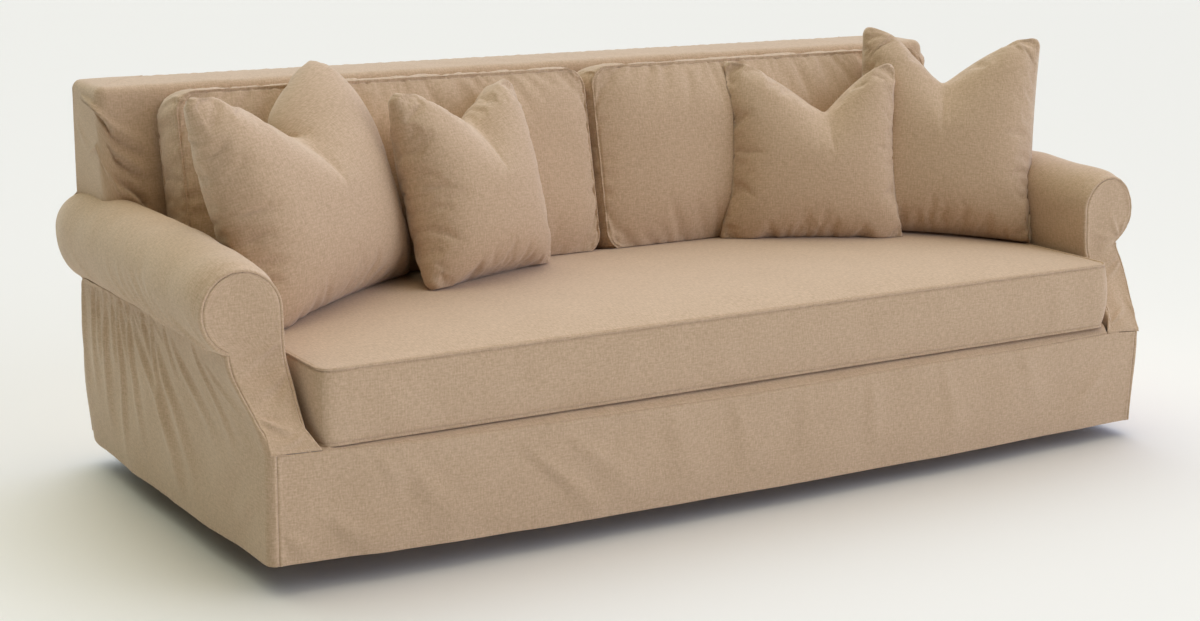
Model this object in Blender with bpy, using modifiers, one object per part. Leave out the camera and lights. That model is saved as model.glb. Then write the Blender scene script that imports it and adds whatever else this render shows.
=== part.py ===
"""Sofa slipcover with its seat cushion, back cushions and scatter pillows.

The loose cover hangs on a long rolled-arm sofa, which is not part of the model, so it is
a hollow shell of sewn panels. Depth y runs from the front of the seat rail to the back,
x to the right, and heights are measured from the floor. The finished pieces are moved so
that the origin lies under the top of the cover's back, where the sofa carries it.
"""

from collections import namedtuple
from math import acos, cos, exp, hypot, pi, radians, sin, sqrt

import bmesh
import bpy
import numpy as np
from mathutils import Matrix, Vector

# Driving dimensions, in metres.
CLOTH = 0.002            # thickness of the upholstery linen
GAP = 0.0003             # left between two pieces that meet
CORE_OVER = 0.0012       # a cutter's flats stand this far outside the round they follow
BASE_HALF = 1.159        # half the width across the front corners
BACK_HALF = 1.179        # half the width of the back above the arms
REAR = 1.050             # inner face of the outside back
TOP = 0.904              # rear edge of the top
TOP_CROWN = 0.012        # how far the top swells above its rear edge
TOP_RADIUS = 0.035       # front edge of the top
BACK_CORNER = 0.045      # upright front edges of the back
DECK = 0.2895            # top of the deck under the seat cushion
DECK_HALF = 1.0585
WALL_FOOT = 0.280        # lower edge of the inside arm and the inside back
ROLL_ACROSS = 1.155      # roll centre from the middle of the sofa
ROLL_SWEEP = radians(250)
RIGHT_SLIM = 0.85        # the right arm's outside against the left one's
RIGHT_PINCH = 0.012      # how far its neck is drawn in, and over what height
RIGHT_PINCH_SPAN = 0.035
RIGHT_TAPER = 0.012      # how far its side narrows from the rail seam to the hem
NECK_HEIGHT = 0.465      # where the arm front is narrowest, under the roll
NECK_HALF = 1.196        # the arm's half width there, and at the rear end of that seam
NECK_HALF_REAR = 1.186
SIDE_BEND = 0.4          # share of the side's depth over which it leaves the arm front's outline
SIDE_TUCK = 0.012        # side panel turns in at its rear edge
SIDE_TUCK_RUN = 0.060
HEM_REAR = 0.060
HEM_CURL = 0.018         # the hem lifts this far at the two rear corners
HEM_CURL_RUN = 0.090     # over this run
FACE_PROUD = 0.0045      # arm front stands clear of the raked edges behind it
SEAM_STEP = 0.0012       # raked arm front starts this far above the rail seam
PANEL_OVER = 0.003       # outside back reaches past the side panel's edge

# Where the sofa carries the cover, touching the underside of its top: the origin of the
# part, in floor coordinates.
CARRIED_AT = Vector((0.0, 0.982, 0.912))

# The roll from front to rear: its middle, its radius, and how far its underside hangs.
RollSection = namedtuple("RollSection", "depth height radius drop")
ROLL = (
    RollSection(0.12, 0.545, 0.088, 0.088),
    RollSection(0.15, 0.549, 0.092, 0.092),
    RollSection(0.20, 0.553, 0.094, 0.098),
    RollSection(0.50, 0.565, 0.094, 0.108),
    RollSection(0.95, 0.567, 0.090, 0.118),
    RollSection(1.00, 0.568, 0.086, 0.122),
    RollSection(1.05, 0.569, 0.077, 0.125),
)

# The raked arm front: its set-back and its outer edge at each height.
ArmFrontLevel = namedtuple("ArmFrontLevel", "height set_back outer")
ARM_FRONT = (
    ArmFrontLevel(0.290, 0.000, 1.159),
    ArmFrontLevel(0.320, 0.020, 1.164),
    ArmFrontLevel(0.360, 0.052, 1.174),
    ArmFrontLevel(0.400, 0.082, 1.186),
    ArmFrontLevel(0.430, 0.103, 1.193),
    ArmFrontLevel(NECK_HEIGHT, 0.117, NECK_HALF),
    ArmFrontLevel(0.545, 0.123, 1.243),
    ArmFrontLevel(0.640, 0.128, 1.155),
)

# The side panel's half width at its rear edge.
SideLevel = namedtuple("SideLevel", "height rear_half")
SIDE_REAR = (
    SideLevel(0.060, 1.177),
    SideLevel(0.232, 1.191),
    SideLevel(0.460, 1.185),
)

# The inside back leans: its depth at each height.
InsideBackLevel = namedtuple("InsideBackLevel", "height depth")
INSIDE_BACK = (
    InsideBackLevel(0.280, 0.776),
    InsideBackLevel(0.470, 0.806),
    InsideBackLevel(0.904, 0.880),
)

# The seat rail from the left corner to the right: seam, hem and swell of the front.
RailStation = namedtuple("RailStation", "across seam hem swell")
RAIL = (
    RailStation(-1.159, 0.290, 0.065, 0.000),
    RailStation(-1.050, 0.285, 0.062, 0.000),
    RailStation(-0.880, 0.281, 0.058, 0.012),
    RailStation(-0.450, 0.272, 0.050, 0.019),
    RailStation(0.000, 0.268, 0.046, 0.020),
    RailStation(0.450, 0.272, 0.043, 0.018),
    RailStation(0.800, 0.269, 0.042, 0.010),
    RailStation(1.050, 0.270, 0.041, 0.000),
    RailStation(1.159, 0.264, 0.040, 0.000),
)

# Soft folds: a straight crest or trough from one place on a panel to another, both as
# (across, up) fractions of the panel.
Fold = namedtuple("Fold", "start end width height")
SKIRT_FOLDS = (
    Fold((0.02, 0.30), (0.20, 0.00), 0.035, 0.006),
    Fold((0.10, 0.95), (0.27, 0.15), 0.030, 0.006),
    Fold((0.20, 0.85), (0.33, 0.10), 0.025, -0.005),
    Fold((0.27, 0.95), (0.40, 0.05), 0.030, 0.007),
    Fold((0.47, 0.90), (0.52, 0.10), 0.030, 0.004),
    Fold((0.70, 0.90), (0.66, 0.10), 0.035, 0.005),
    Fold((0.90, 0.95), (0.84, 0.05), 0.030, 0.004),
)
LEFT_SIDE_FOLDS = (
    Fold((0.93, 0.95), (0.88, 0.05), 0.030, 0.009),
    Fold((0.80, 1.00), (0.66, 0.02), 0.030, 0.011),
    Fold((0.70, 1.00), (0.50, 0.02), 0.028, 0.012),
    Fold((0.58, 0.98), (0.36, 0.15), 0.028, 0.009),
    Fold((0.42, 0.98), (0.22, 0.40), 0.028, 0.007),
    Fold((0.03, 0.45), (0.10, 0.00), 0.030, 0.006),
)
RIGHT_SIDE_FOLDS = (
    Fold((0.90, 0.95), (0.84, 0.05), 0.032, 0.008),
    Fold((0.66, 1.00), (0.55, 0.05), 0.030, 0.010),
    Fold((0.45, 0.98), (0.30, 0.10), 0.030, 0.009),
    Fold((0.22, 0.95), (0.12, 0.20), 0.030, 0.007),
)
LEFT_ROLL_FOLDS = (
    Fold((0.98, 0.22), (0.62, 0.12), 0.030, 0.005),
    Fold((0.99, 0.38), (0.66, 0.30), 0.028, 0.006),
    Fold((0.99, 0.52), (0.64, 0.40), 0.026, 0.007),
    Fold((0.99, 0.66), (0.70, 0.58), 0.030, 0.005),
)
RIGHT_ROLL_FOLDS = (
    Fold((0.98, 0.28), (0.66, 0.20), 0.030, 0.005),
    Fold((0.99, 0.55), (0.68, 0.46), 0.030, 0.006),
)
INSIDE_BACK_FOLDS = (
    Fold((0.175, 0.58), (0.235, 0.47), 0.016, 0.008),
    Fold((0.175, 0.50), (0.225, 0.34), 0.016, 0.007),
    Fold((0.825, 0.57), (0.770, 0.45), 0.016, 0.007),
    Fold((0.30, 0.70), (0.36, 0.30), 0.030, 0.004),
    Fold((0.66, 0.70), (0.62, 0.30), 0.030, 0.004),
)
OUTSIDE_BACK_FOLDS = (
    Fold((0.10, 0.95), (0.22, 0.05), 0.040, 0.006),
    Fold((0.33, 0.70), (0.36, 0.02), 0.040, 0.005),
    Fold((0.58, 0.80), (0.55, 0.02), 0.045, 0.006),
    Fold((0.88, 0.95), (0.78, 0.05), 0.040, 0.007),
)
NO_FOLDS = ()

LINEN = (0.545, 0.425, 0.300, 1.0)
LINEN_ROUGHNESS = 0.9

SEAT_HALF = 1.040
SEAT_FRONT, SEAT_REAR = 0.004, 0.757
SEAT_EDGE = 0.443        # height of the top seam

# How a boxed cushion fills: radius of its corners in plan, rise of its middle, and how far
# its boxing swells.
Filling = namedtuple("Filling", "corner crown bulge")
SEAT_FILLING = Filling(0.045, 0.032, 0.010)
BACK_FILLING = Filling(0.050, 0.040, 0.006)

# Boxed back cushions: middle of the lower front edge, and the lean from upright.
BACK_CUSHION_HALF = 0.518
BACK_CUSHION_HEIGHT = 0.450
BACK_CUSHION_DEEP = 0.126
BACK_CUSHION_LEAN = radians(12.5)
BackCushion = namedtuple("BackCushion", "name across")
BACK_CUSHIONS = (
    BackCushion("back_cushion_left", -0.530),
    BackCushion("back_cushion_right", 0.531),
)
BACK_CUSHION_FOOT = (0.646, 0.462)

# Scatter pillows: middle of the pillow, how it turns and leans, its size, how far it
# spreads at the foot, the dent in its top, and how far its right ear is folded in.
Pillow = namedtuple("Pillow", "name middle turn lean width height thick spread dent dent_at fold")
PILLOWS = (
    Pillow("pillow_right_large", (0.974, 0.553, 0.697), -34, 31, 0.465, 0.570, 0.18, 0.02,
           0.125, 0.10, 0.00),
    Pillow("pillow_right_small", (0.568, 0.583, 0.671), -24, 17, 0.435, 0.465, 0.16, 0.07,
           0.115, 0.20, 0.00),
    Pillow("pillow_left_large", (-0.844, 0.522, 0.700), 31, 17, 0.560, 0.500, 0.20, 0.00,
           0.110, 0.10, 0.09),
    Pillow("pillow_left_small", (-0.421, 0.550, 0.684), 20, 16, 0.385, 0.440, 0.18, 0.05,
           0.100, 0.20, 0.00),
)
EAR_RADIUS = 0.045
DRAWN = 0.035            # how far a pillow's sides are drawn in, as a share of its half size
FULLNESS = 0.45          # the lower, the blunter the pillow is towards its edge
DENT_LEFT, DENT_RIGHT = 0.36, 0.30  # how wide the dent is to either side of its middle
DENT_SHARP = 1.3
DENT_VALLEY = 0.5        # share of the fullness lost behind the dent


def read(table, at, column, key=None):
    """A table's column at a height, a depth or a place across, between its rows."""
    key = key or table[0]._fields[0]
    return float(np.interp(at, [getattr(row, key) for row in table],
                           [getattr(row, column) for row in table]))


def part(whole, start, stop):
    """How far `whole` is along the stretch from start to stop, from 0 to 1."""
    return min(max((whole - start) / (stop - start), 0.0), 1.0)


def mix(start, stop, share):
    return start + (stop - start) * share


def fold_height(folds, across, up):
    """Sum of a panel's soft folds at one place; each fades out at its ends."""
    total = 0.0
    for fold in folds:
        run = Vector(fold.end) - Vector(fold.start)
        offset = Vector((across, up)) - Vector(fold.start)
        along = offset.dot(run) / run.dot(run)
        side = abs(offset.x * run.y - offset.y * run.x) / run.length
        reach = max(0.0, 1.0 - max(-along, along - 1.0, 0.0) / 0.2)
        fade = sin(pi * (0.25 + 0.5 * min(max(along, 0.0), 1.0)))
        total += fold.height * fade * reach * reach * exp(-((side / fold.width) ** 2))
    return total


def linen():
    material = bpy.data.materials.new("linen")
    material.use_nodes = True
    shader = material.node_tree.nodes["Principled BSDF"]
    shader.inputs["Base Color"].default_value = LINEN
    shader.inputs["Roughness"].default_value = LINEN_ROUGHNESS
    return material


def face_out(mesh):
    """Turn a closed mesh's faces outwards."""
    bmesh.ops.recalc_face_normals(mesh, faces=mesh.faces)
    if mesh.calc_volume(signed=True) < 0.0:
        bmesh.ops.reverse_faces(mesh, faces=mesh.faces)


def add_object(name, mesh, collection, material=None):
    """Turn a finished bmesh into a named object, smooth shaded, in the part's frame."""
    bmesh.ops.translate(mesh, verts=mesh.verts, vec=-CARRIED_AT)
    data = bpy.data.meshes.new(name)
    mesh.to_mesh(data)
    mesh.free()
    data.shade_smooth()
    data.set_sharp_from_angle(angle=radians(40))
    item = bpy.data.objects.new(name, data)
    collection.objects.link(item)
    if material:
        data.materials.append(material)
    else:
        item.hide_render = True
        item.display_type = "WIRE"
    return item


def add_panel(name, cells, place, folds, collection, material, mirrored=False):
    """A cloth panel: a grid laid out by place(across, up), folded, then given its thickness."""
    mesh = bmesh.new()
    columns, rows = cells
    bmesh.ops.create_grid(mesh, x_segments=columns, y_segments=rows, size=0.5)
    spots = {vert: (vert.co.x + 0.5, vert.co.y + 0.5) for vert in mesh.verts}
    for vert, (across, up) in spots.items():
        vert.co = place(across, up)
    if mirrored:
        bmesh.ops.reverse_faces(mesh, faces=mesh.faces)
    mesh.normal_update()
    lifted = {}
    for vert, (across, up) in spots.items():
        inner = min(across, 1.0 - across, up, 1.0 - up) > 0.001
        rise = fold_height(folds, across, up) if inner else 0.0
        lifted[vert] = vert.co + vert.normal * rise
    for vert, spot in lifted.items():
        vert.co = spot
    bmesh.ops.remove_doubles(mesh, verts=mesh.verts, dist=0.00005)
    item = add_object(name, mesh, collection, material)
    solid = item.modifiers.new("cloth", "SOLIDIFY")
    solid.thickness = CLOTH
    solid.offset = -1.0
    solid.use_even_offset = True
    return item


def cut_away(item, cutters):
    for cutter in cutters:
        cut = item.modifiers.new("clear of " + cutter.name, "BOOLEAN")
        cut.operation = "DIFFERENCE"
        cut.solver = "EXACT"
        cut.object = cutter


def corner_height(side):
    return read(RAIL, side * BASE_HALF, "seam")


def arm_front(side, level, column):
    """The arm front's table, stretched down to where this side's rail seam meets the corner."""
    neck, foot = NECK_HEIGHT, ARM_FRONT[0].height
    if level < neck:
        level = mix(neck, foot, (neck - level) / (neck - corner_height(side)))
    return read(ARM_FRONT, level, column)


def outer(side, half, level):
    """The half width out to a place past the roll's middle; the right arm is the slimmer."""
    if side < 0 or half < ROLL_ACROSS:
        return half
    pinch = RIGHT_PINCH * exp(-(((level - NECK_HEIGHT) / RIGHT_PINCH_SPAN) ** 2))
    taper = RIGHT_TAPER * part(-level, -ARM_FRONT[0].height, 0.0)
    return ROLL_ACROSS + (half - ROLL_ACROSS) * RIGHT_SLIM - pinch - taper


# The arm: an upright inner wall, the roll, and the seam under the roll.

WALL_SHARE = 0.25        # share of the arm panel that is the inner wall


def arm_section(along, depth):
    """(half width, height) on the arm's outline, from the foot of the inner wall round the roll."""
    height = read(ROLL, depth, "height")
    radius = read(ROLL, depth, "radius")
    if along < WALL_SHARE:
        return ROLL_ACROSS - radius, mix(WALL_FOOT, height, along / WALL_SHARE)
    angle = ROLL_SWEEP * part(along, WALL_SHARE, 1.0)
    tall = radius if angle < pi else read(ROLL, depth, "drop")
    return ROLL_ACROSS - radius * cos(angle), height + tall * sin(angle)


def arm_place(side):
    def place(along, back):
        foremost = arm_section(along, ROLL[0].depth)[1]
        depth = mix(arm_front(side, foremost, "set_back") + GAP, REAR - GAP, back)
        half, height = arm_section(along, depth)
        return Vector((side * outer(side, half, height), depth, height))
    return place


def roll_seam(depth, half):
    """Height of the roll's underside at a half width."""
    share = (half - ROLL_ACROSS) / read(ROLL, depth, "radius")
    return read(ROLL, depth, "height") - read(ROLL, depth, "drop") * sin(acos(share))


CORE_PAST = 0.1          # a cutter runs this far past the edges of what it cuts
ARM_CORE_FRONT = 0.3
ARM_CORE_SLICES = (-0.3, -0.1, 0.1, 0.3)


def add_arm_core(side, collection):
    """The room inside an arm, with the clearance round it: what the inside back is cut to."""
    mesh = bmesh.new()
    bmesh.ops.create_cone(mesh, cap_ends=True, segments=28, radius1=1, radius2=1, depth=1)
    for stop in ARM_CORE_SLICES:
        bmesh.ops.bisect_plane(mesh, geom=mesh.verts[:] + mesh.edges[:] + mesh.faces[:],
                               plane_co=(0, 0, stop), plane_no=(0, 0, 1))
    for vert in mesh.verts:
        angle = np.arctan2(vert.co.y, vert.co.x)
        depth = mix(ARM_CORE_FRONT, REAR + CORE_PAST, vert.co.z + 0.5)
        height = read(ROLL, depth, "height")
        radius = read(ROLL, depth, "radius") + CORE_OVER
        half = ROLL_ACROSS - radius * cos(angle)
        level = height + radius * sin(angle)
        if angle < 0:
            # The lower half turn becomes the two upright walls and the foot between them.
            down = min(-angle, pi + angle) / (0.25 * pi)
            inward = 1 if cos(angle) > 0 else -1
            level = mix(height, WALL_FOOT - CORE_PAST, min(down, 1.0))
            half = ROLL_ACROSS - inward * radius * min(2.0 - down, 1.0)
        vert.co = Vector((side * outer(side, half, level), depth, level))
    face_out(mesh)
    return add_object("arm_core" + ("_left" if side < 0 else "_right"), mesh, collection)


# The back: a U in plan, which closes in to the rear edge over the top.

BACK_RISE = 0.60         # share of the rows on the upright face
BACK_ROUND = 0.80        # end of the rows over the top's front edge
SIDE_SHARE = 0.10        # share of the columns on each side return
CORNER_SHARE = 0.20      # end of the columns round each upright edge
RETURN_FOOT = 0.60       # lower edge of the side returns, behind the arm rolls


def back_plan(along, depth, inset):
    """(x, y) on the U: rear left, round the left edge, across the front, and to the rear right."""
    half = BACK_HALF - inset
    front = min(depth + inset, REAR - GAP)
    radius = max(min(BACK_CORNER - inset, (REAR - GAP - front) * 0.5), 0.0)
    mirror = -1 if along < 0.5 else 1
    near = min(along, 1.0 - along)
    if near < SIDE_SHARE:
        return mirror * half, mix(REAR - GAP, front + radius, near / SIDE_SHARE)
    if near < CORNER_SHARE:
        angle = 0.5 * pi * part(near, SIDE_SHARE, CORNER_SHARE)
        return (mirror * (half - radius * (1 - cos(angle))),
                front + radius * (1 - sin(angle)))
    return mirror * (half - radius) * (0.5 - near) / (0.5 - CORNER_SHARE), front


def inside_back_place(along, up):
    near = min(along, 1.0 - along)
    foot = mix(RETURN_FOOT, WALL_FOOT, part(near, SIDE_SHARE, CORNER_SHARE))
    if up <= BACK_RISE:
        height, inset = mix(foot, TOP - TOP_RADIUS, up / BACK_RISE), 0.0
    elif up <= BACK_ROUND:
        angle = 0.5 * pi * part(up, BACK_RISE, BACK_ROUND)
        height = TOP - TOP_RADIUS * (1 - sin(angle))
        inset = TOP_RADIUS * (1 - cos(angle))
    else:
        over = part(up, BACK_ROUND, 1.0)
        deep = REAR - GAP - read(INSIDE_BACK, TOP, "depth")
        height, inset = TOP + TOP_CROWN * sin(pi * over), mix(TOP_RADIUS, deep, over)
    x, y = back_plan(along, read(INSIDE_BACK, height, "depth"), inset)
    return Vector((x, y, height))


BACK_CORE_FOOT = (0.764, 0.20)      # depth and height of its lower front edge
BACK_CORE_HEAD = 0.80
BACK_CORE_TURN = 0.97    # share of its outline that follows the U; the rest closes the rear
BACK_CORE_START = 0.005


def add_back_core(collection):
    """The room inside the back, with clearance: what the two arms are cut to."""
    mesh = bmesh.new()
    bmesh.ops.create_cone(mesh, cap_ends=True, segments=48, radius1=1, radius2=1, depth=1)
    foot_depth, foot = BACK_CORE_FOOT
    for vert in mesh.verts:
        turn = (np.arctan2(vert.co.y, vert.co.x) / (2 * pi)) % 1.0
        height = mix(foot, BACK_CORE_HEAD, vert.co.z + 0.5)
        depth = read(INSIDE_BACK, height, "depth") if height > WALL_FOOT else foot_depth
        along = part(turn, 0.0, BACK_CORE_TURN)
        x, y = back_plan(along, depth, -GAP)
        if not BACK_CORE_START < turn < BACK_CORE_TURN:
            y = REAR + CORE_PAST
        vert.co = Vector((x, y, height))
    face_out(mesh)
    return add_object("back_core", mesh, collection)


# The outside arm, from the seam under the roll to the hem.

def hem_lift(depth):
    return HEM_CURL * part(depth, REAR - HEM_CURL_RUN, REAR) ** 2


def outside_arm_place(side):
    def place(back, up):
        corner = corner_height(side)
        lower, upper = part(up, 0.0, 0.5), part(up, 0.5, 1.0)
        front_level = mix(mix(read(RAIL, side * BASE_HALF, "hem"), corner, lower),
                          roll_seam(ROLL[0].depth, NECK_HALF), upper)
        rear_level = mix(mix(HEM_REAR, corner, lower), roll_seam(REAR, NECK_HALF_REAR), upper)
        depth = mix(arm_front(side, front_level, "set_back") + GAP, REAR - GAP, back)
        half = mix(arm_front(side, front_level, "outer"),
                   read(SIDE_REAR, rear_level, "rear_half"), part(back, 0.0, SIDE_BEND))
        level = mix(front_level, rear_level, back) + hem_lift(depth) * (1.0 - lower)
        if up > 0.999:
            level = roll_seam(depth, half - CLOTH) - 3 * GAP
        half -= SIDE_TUCK * part(depth, REAR - SIDE_TUCK_RUN, REAR) ** 2
        return Vector((side * outer(side, half, level), depth, level))
    return place


# The arm front: flat across, raked with the sofa's arm.

ARM_FRONT_MIDDLE = 1.10
ARM_FRONT_INNER = 1.046  # at its foot; it reaches the inner wall this far above
ARM_FRONT_RISE = 0.05
ARM_FRONT_CROWN = radians(84)       # the top row lies this far up the roll


def arm_front_place(side):
    def place(across, up):
        roll = ROLL[0]
        foot = read(RAIL, side * ARM_FRONT_MIDDLE, "seam")
        if up < 0.5:
            level = mix(foot, roll.height, up / 0.5)
        else:
            level = roll.height + roll.radius * sin(ARM_FRONT_CROWN * part(up, 0.5, 1.0))
        spread = sqrt(max(roll.radius ** 2 - (level - roll.height) ** 2, 0.0))
        inner, far = ROLL_ACROSS - spread, ROLL_ACROSS + spread
        if level <= roll.height:
            inner = mix(ARM_FRONT_INNER, ROLL_ACROSS - roll.radius,
                        part(level, foot, foot + ARM_FRONT_RISE))
        if level <= roll_seam(0.0, NECK_HALF):
            far = arm_front(side, level, "outer")
        x = mix(inner, outer(side, far, level), across)
        set_back = arm_front(side, level, "set_back")
        if up < 0.001:
            level = read(RAIL, side * x, "seam") + SEAM_STEP
            set_back = arm_front(side, level, "set_back")
        return Vector((side * x, set_back - FACE_PROUD, level))
    return place


# The front: skirt below the rail seam, deck with its lip above it.

LIP_ROWS = 0.3           # share of the deck's rows on the lip
LIP_BACK = 0.034         # where the lip reaches the deck's level
LIP_HALF = 1.0445        # the lip ends between the arm fronts


def skirt_place(across, up):
    x = mix(-BASE_HALF, BASE_HALF, across)
    front = -read(RAIL, x, "swell") - CLOTH - GAP
    level = mix(read(RAIL, x, "hem"), read(RAIL, x, "seam") - GAP, up)
    return Vector((x * outer(1, BASE_HALF, level) / BASE_HALF if x > 0 else x, front, level))


def deck_place(across, up):
    half = mix(LIP_HALF, DECK_HALF, part(up, 0.0, LIP_ROWS))
    x = mix(-half, half, across)
    front = -read(RAIL, x, "swell")
    seam = read(RAIL, x, "seam") + GAP
    rear = read(INSIDE_BACK, DECK - CLOTH, "depth") - GAP
    if up < LIP_ROWS:
        climb = sin(0.5 * pi * up / LIP_ROWS)
        return Vector((x, mix(front, LIP_BACK, up / LIP_ROWS), mix(seam, DECK, climb)))
    return Vector((x, mix(LIP_BACK, rear, part(up, LIP_ROWS, 1.0)), DECK))


def outside_back_half(height):
    """Half width of the outside back, which also closes the ends of the arms."""
    roll = ROLL[-1]
    side = read(SIDE_REAR, height, "rear_half") - SIDE_TUCK + PANEL_OVER
    if height > roll.height + roll.radius:
        return BACK_HALF
    tall = roll.drop if height < roll.height else roll.radius
    spread = 1.0 - ((height - roll.height) / tall) ** 2
    if spread > 0.0:
        side = max(side if height < roll.height else BACK_HALF,
                   ROLL_ACROSS + roll.radius * sqrt(spread))
    return side


HEM_CORNER_POWER = 12    # keeps the hem's lift near its two ends
BACK_LEVELS = (0.0, 0.12, 0.22, 0.32, 0.41, 0.452, 0.480, 0.525, 0.569, 0.605, 0.632, 0.646,
               0.652, 0.72, 0.79, 0.87, 0.892, 0.903)


def outside_back_place(across, up):
    step = up * (len(BACK_LEVELS) - 1)
    level = float(np.interp(step, range(len(BACK_LEVELS)), BACK_LEVELS))
    level = max(level, HEM_REAR + HEM_CURL * abs(2.0 * across - 1.0) ** HEM_CORNER_POWER)
    half = outside_back_half(level)
    if level > TOP - TOP_RADIUS:
        half -= TOP_RADIUS - sqrt(max(TOP_RADIUS ** 2 - (level - TOP + TOP_RADIUS) ** 2, 0.0))
    right = outer(1, half, level) if level < ROLL[-1].height + ROLL[-1].radius else half
    x = mix(half, -half, across)
    return Vector((x * right / half if x > 0 else x, REAR + CLOTH, level))


# Filled pieces.

def box_mesh(cells):
    """A cube from -1 to 1, sliced into cells along each axis."""
    mesh = bmesh.new()
    bmesh.ops.create_cube(mesh, size=2.0)
    for axis, count in enumerate(cells):
        normal = Vector((0, 0, 0))
        normal[axis] = 1.0
        for step in range(1, count):
            bmesh.ops.bisect_plane(mesh, geom=mesh.verts[:] + mesh.edges[:] + mesh.faces[:],
                                   plane_co=normal * (2.0 * step / count - 1.0),
                                   plane_no=normal)
    return mesh


def round_corner(x, y, half_x, half_y, radius):
    """Pull a point of a rectangle's corner square onto the quarter circle inside it."""
    core_x = min(max(x, radius - half_x), half_x - radius)
    core_y = min(max(y, radius - half_y), half_y - radius)
    away_x, away_y = x - core_x, y - core_y
    length = hypot(away_x, away_y)
    if length < 1e-9:
        return x, y
    pull = max(abs(away_x), abs(away_y)) / length
    return core_x + away_x * pull, core_y + away_y * pull


def add_boxed(name, cells, halves, shape, placed, collection, material):
    """A boxed cushion on a flat underside: crowned top, bulging sides, round corners."""
    mesh = box_mesh(cells)
    half_x, half_y, half_z = halves
    for vert in mesh.verts:
        a, b, c = vert.co
        x, y = round_corner(a * half_x, b * half_y, half_x, half_y, shape.corner)
        out = shape.bulge * (1.0 - c * c)
        rise = shape.crown * (1.0 - a ** 4) * (1.0 - b ** 4) * max(c, 0.0)
        vert.co = placed @ Vector((x + out * a ** 9, y + out * b ** 9, c * half_z + rise))
    face_out(mesh)
    bmesh.ops.triangulate(mesh, faces=mesh.faces)
    return add_object(name, mesh, collection, material)


def add_pillow(pillow, collection, material, cells=14):
    """A knife-edged pillow with rounded ears and a dent struck into its top edge."""
    mesh = bmesh.new()
    for front in (1, -1):
        made = bmesh.ops.create_grid(mesh, x_segments=cells, y_segments=cells, size=1.0)
        for vert in made["verts"]:
            a, b = sin(0.5 * pi * vert.co.x) * 0.4 + vert.co.x * 0.6, vert.co.y
            vert.co = pillow_point(pillow, a, b, front)
    bmesh.ops.remove_doubles(mesh, verts=mesh.verts, dist=0.0002)
    face_out(mesh)
    bmesh.ops.triangulate(mesh, faces=mesh.faces)
    turn = Matrix.Rotation(radians(pillow.turn), 4, "Z")
    lean = Matrix.Rotation(-radians(pillow.lean), 4, "X")
    bmesh.ops.transform(mesh, matrix=Matrix.Translation(pillow.middle) @ turn @ lean,
                        verts=mesh.verts)
    return add_object(pillow.name, mesh, collection, material)


def pillow_point(pillow, a, b, front):
    """A point of the pillow's front or back face; x across, z up, y to the back."""
    x, z = round_corner(0.5 * pillow.width * a, 0.5 * pillow.height * b,
                        0.5 * pillow.width, 0.5 * pillow.height, EAR_RADIUS)
    foot, head = max(-b, 0.0), max(b, 0.0)
    x *= 1.0 - DRAWN * (1.0 - b * b) + pillow.spread * foot ** 3
    z *= 1.0 - DRAWN * (1.0 - a * a)
    away = abs(a - pillow.dent_at) / (DENT_LEFT if a < pillow.dent_at else DENT_RIGHT)
    notch = exp(-(away ** DENT_SHARP))
    z -= pillow.dent * notch * head ** 2
    x -= pillow.fold * head ** 3 * max(a, 0.0)
    full = max((1.0 - a * a) * (1.0 - b * b), 0.0) ** FULLNESS
    valley = 1.0 - DENT_VALLEY * notch * head
    return Vector((x, -front * 0.5 * pillow.thick * full * valley, z))


SHARPEST = 4.0           # the most a knife edge moves, in gaps


def add_clearance(item, collection):
    """The same cushion grown by the gap, which its neighbours are cut to."""
    grown = item.copy()
    grown.data = item.data.copy()
    grown.name = item.name + "_clearance"
    collection.objects.link(grown)
    grown.hide_render = True
    grown.display_type = "WIRE"
    mesh = bmesh.new()
    mesh.from_mesh(grown.data)
    mesh.normal_update()
    moved = {vert: vert.co + vert.normal * GAP * min(vert.calc_shell_factor(), SHARPEST)
             for vert in mesh.verts}
    for vert, spot in moved.items():
        vert.co = spot
    mesh.to_mesh(grown.data)
    mesh.free()
    return grown


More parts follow.
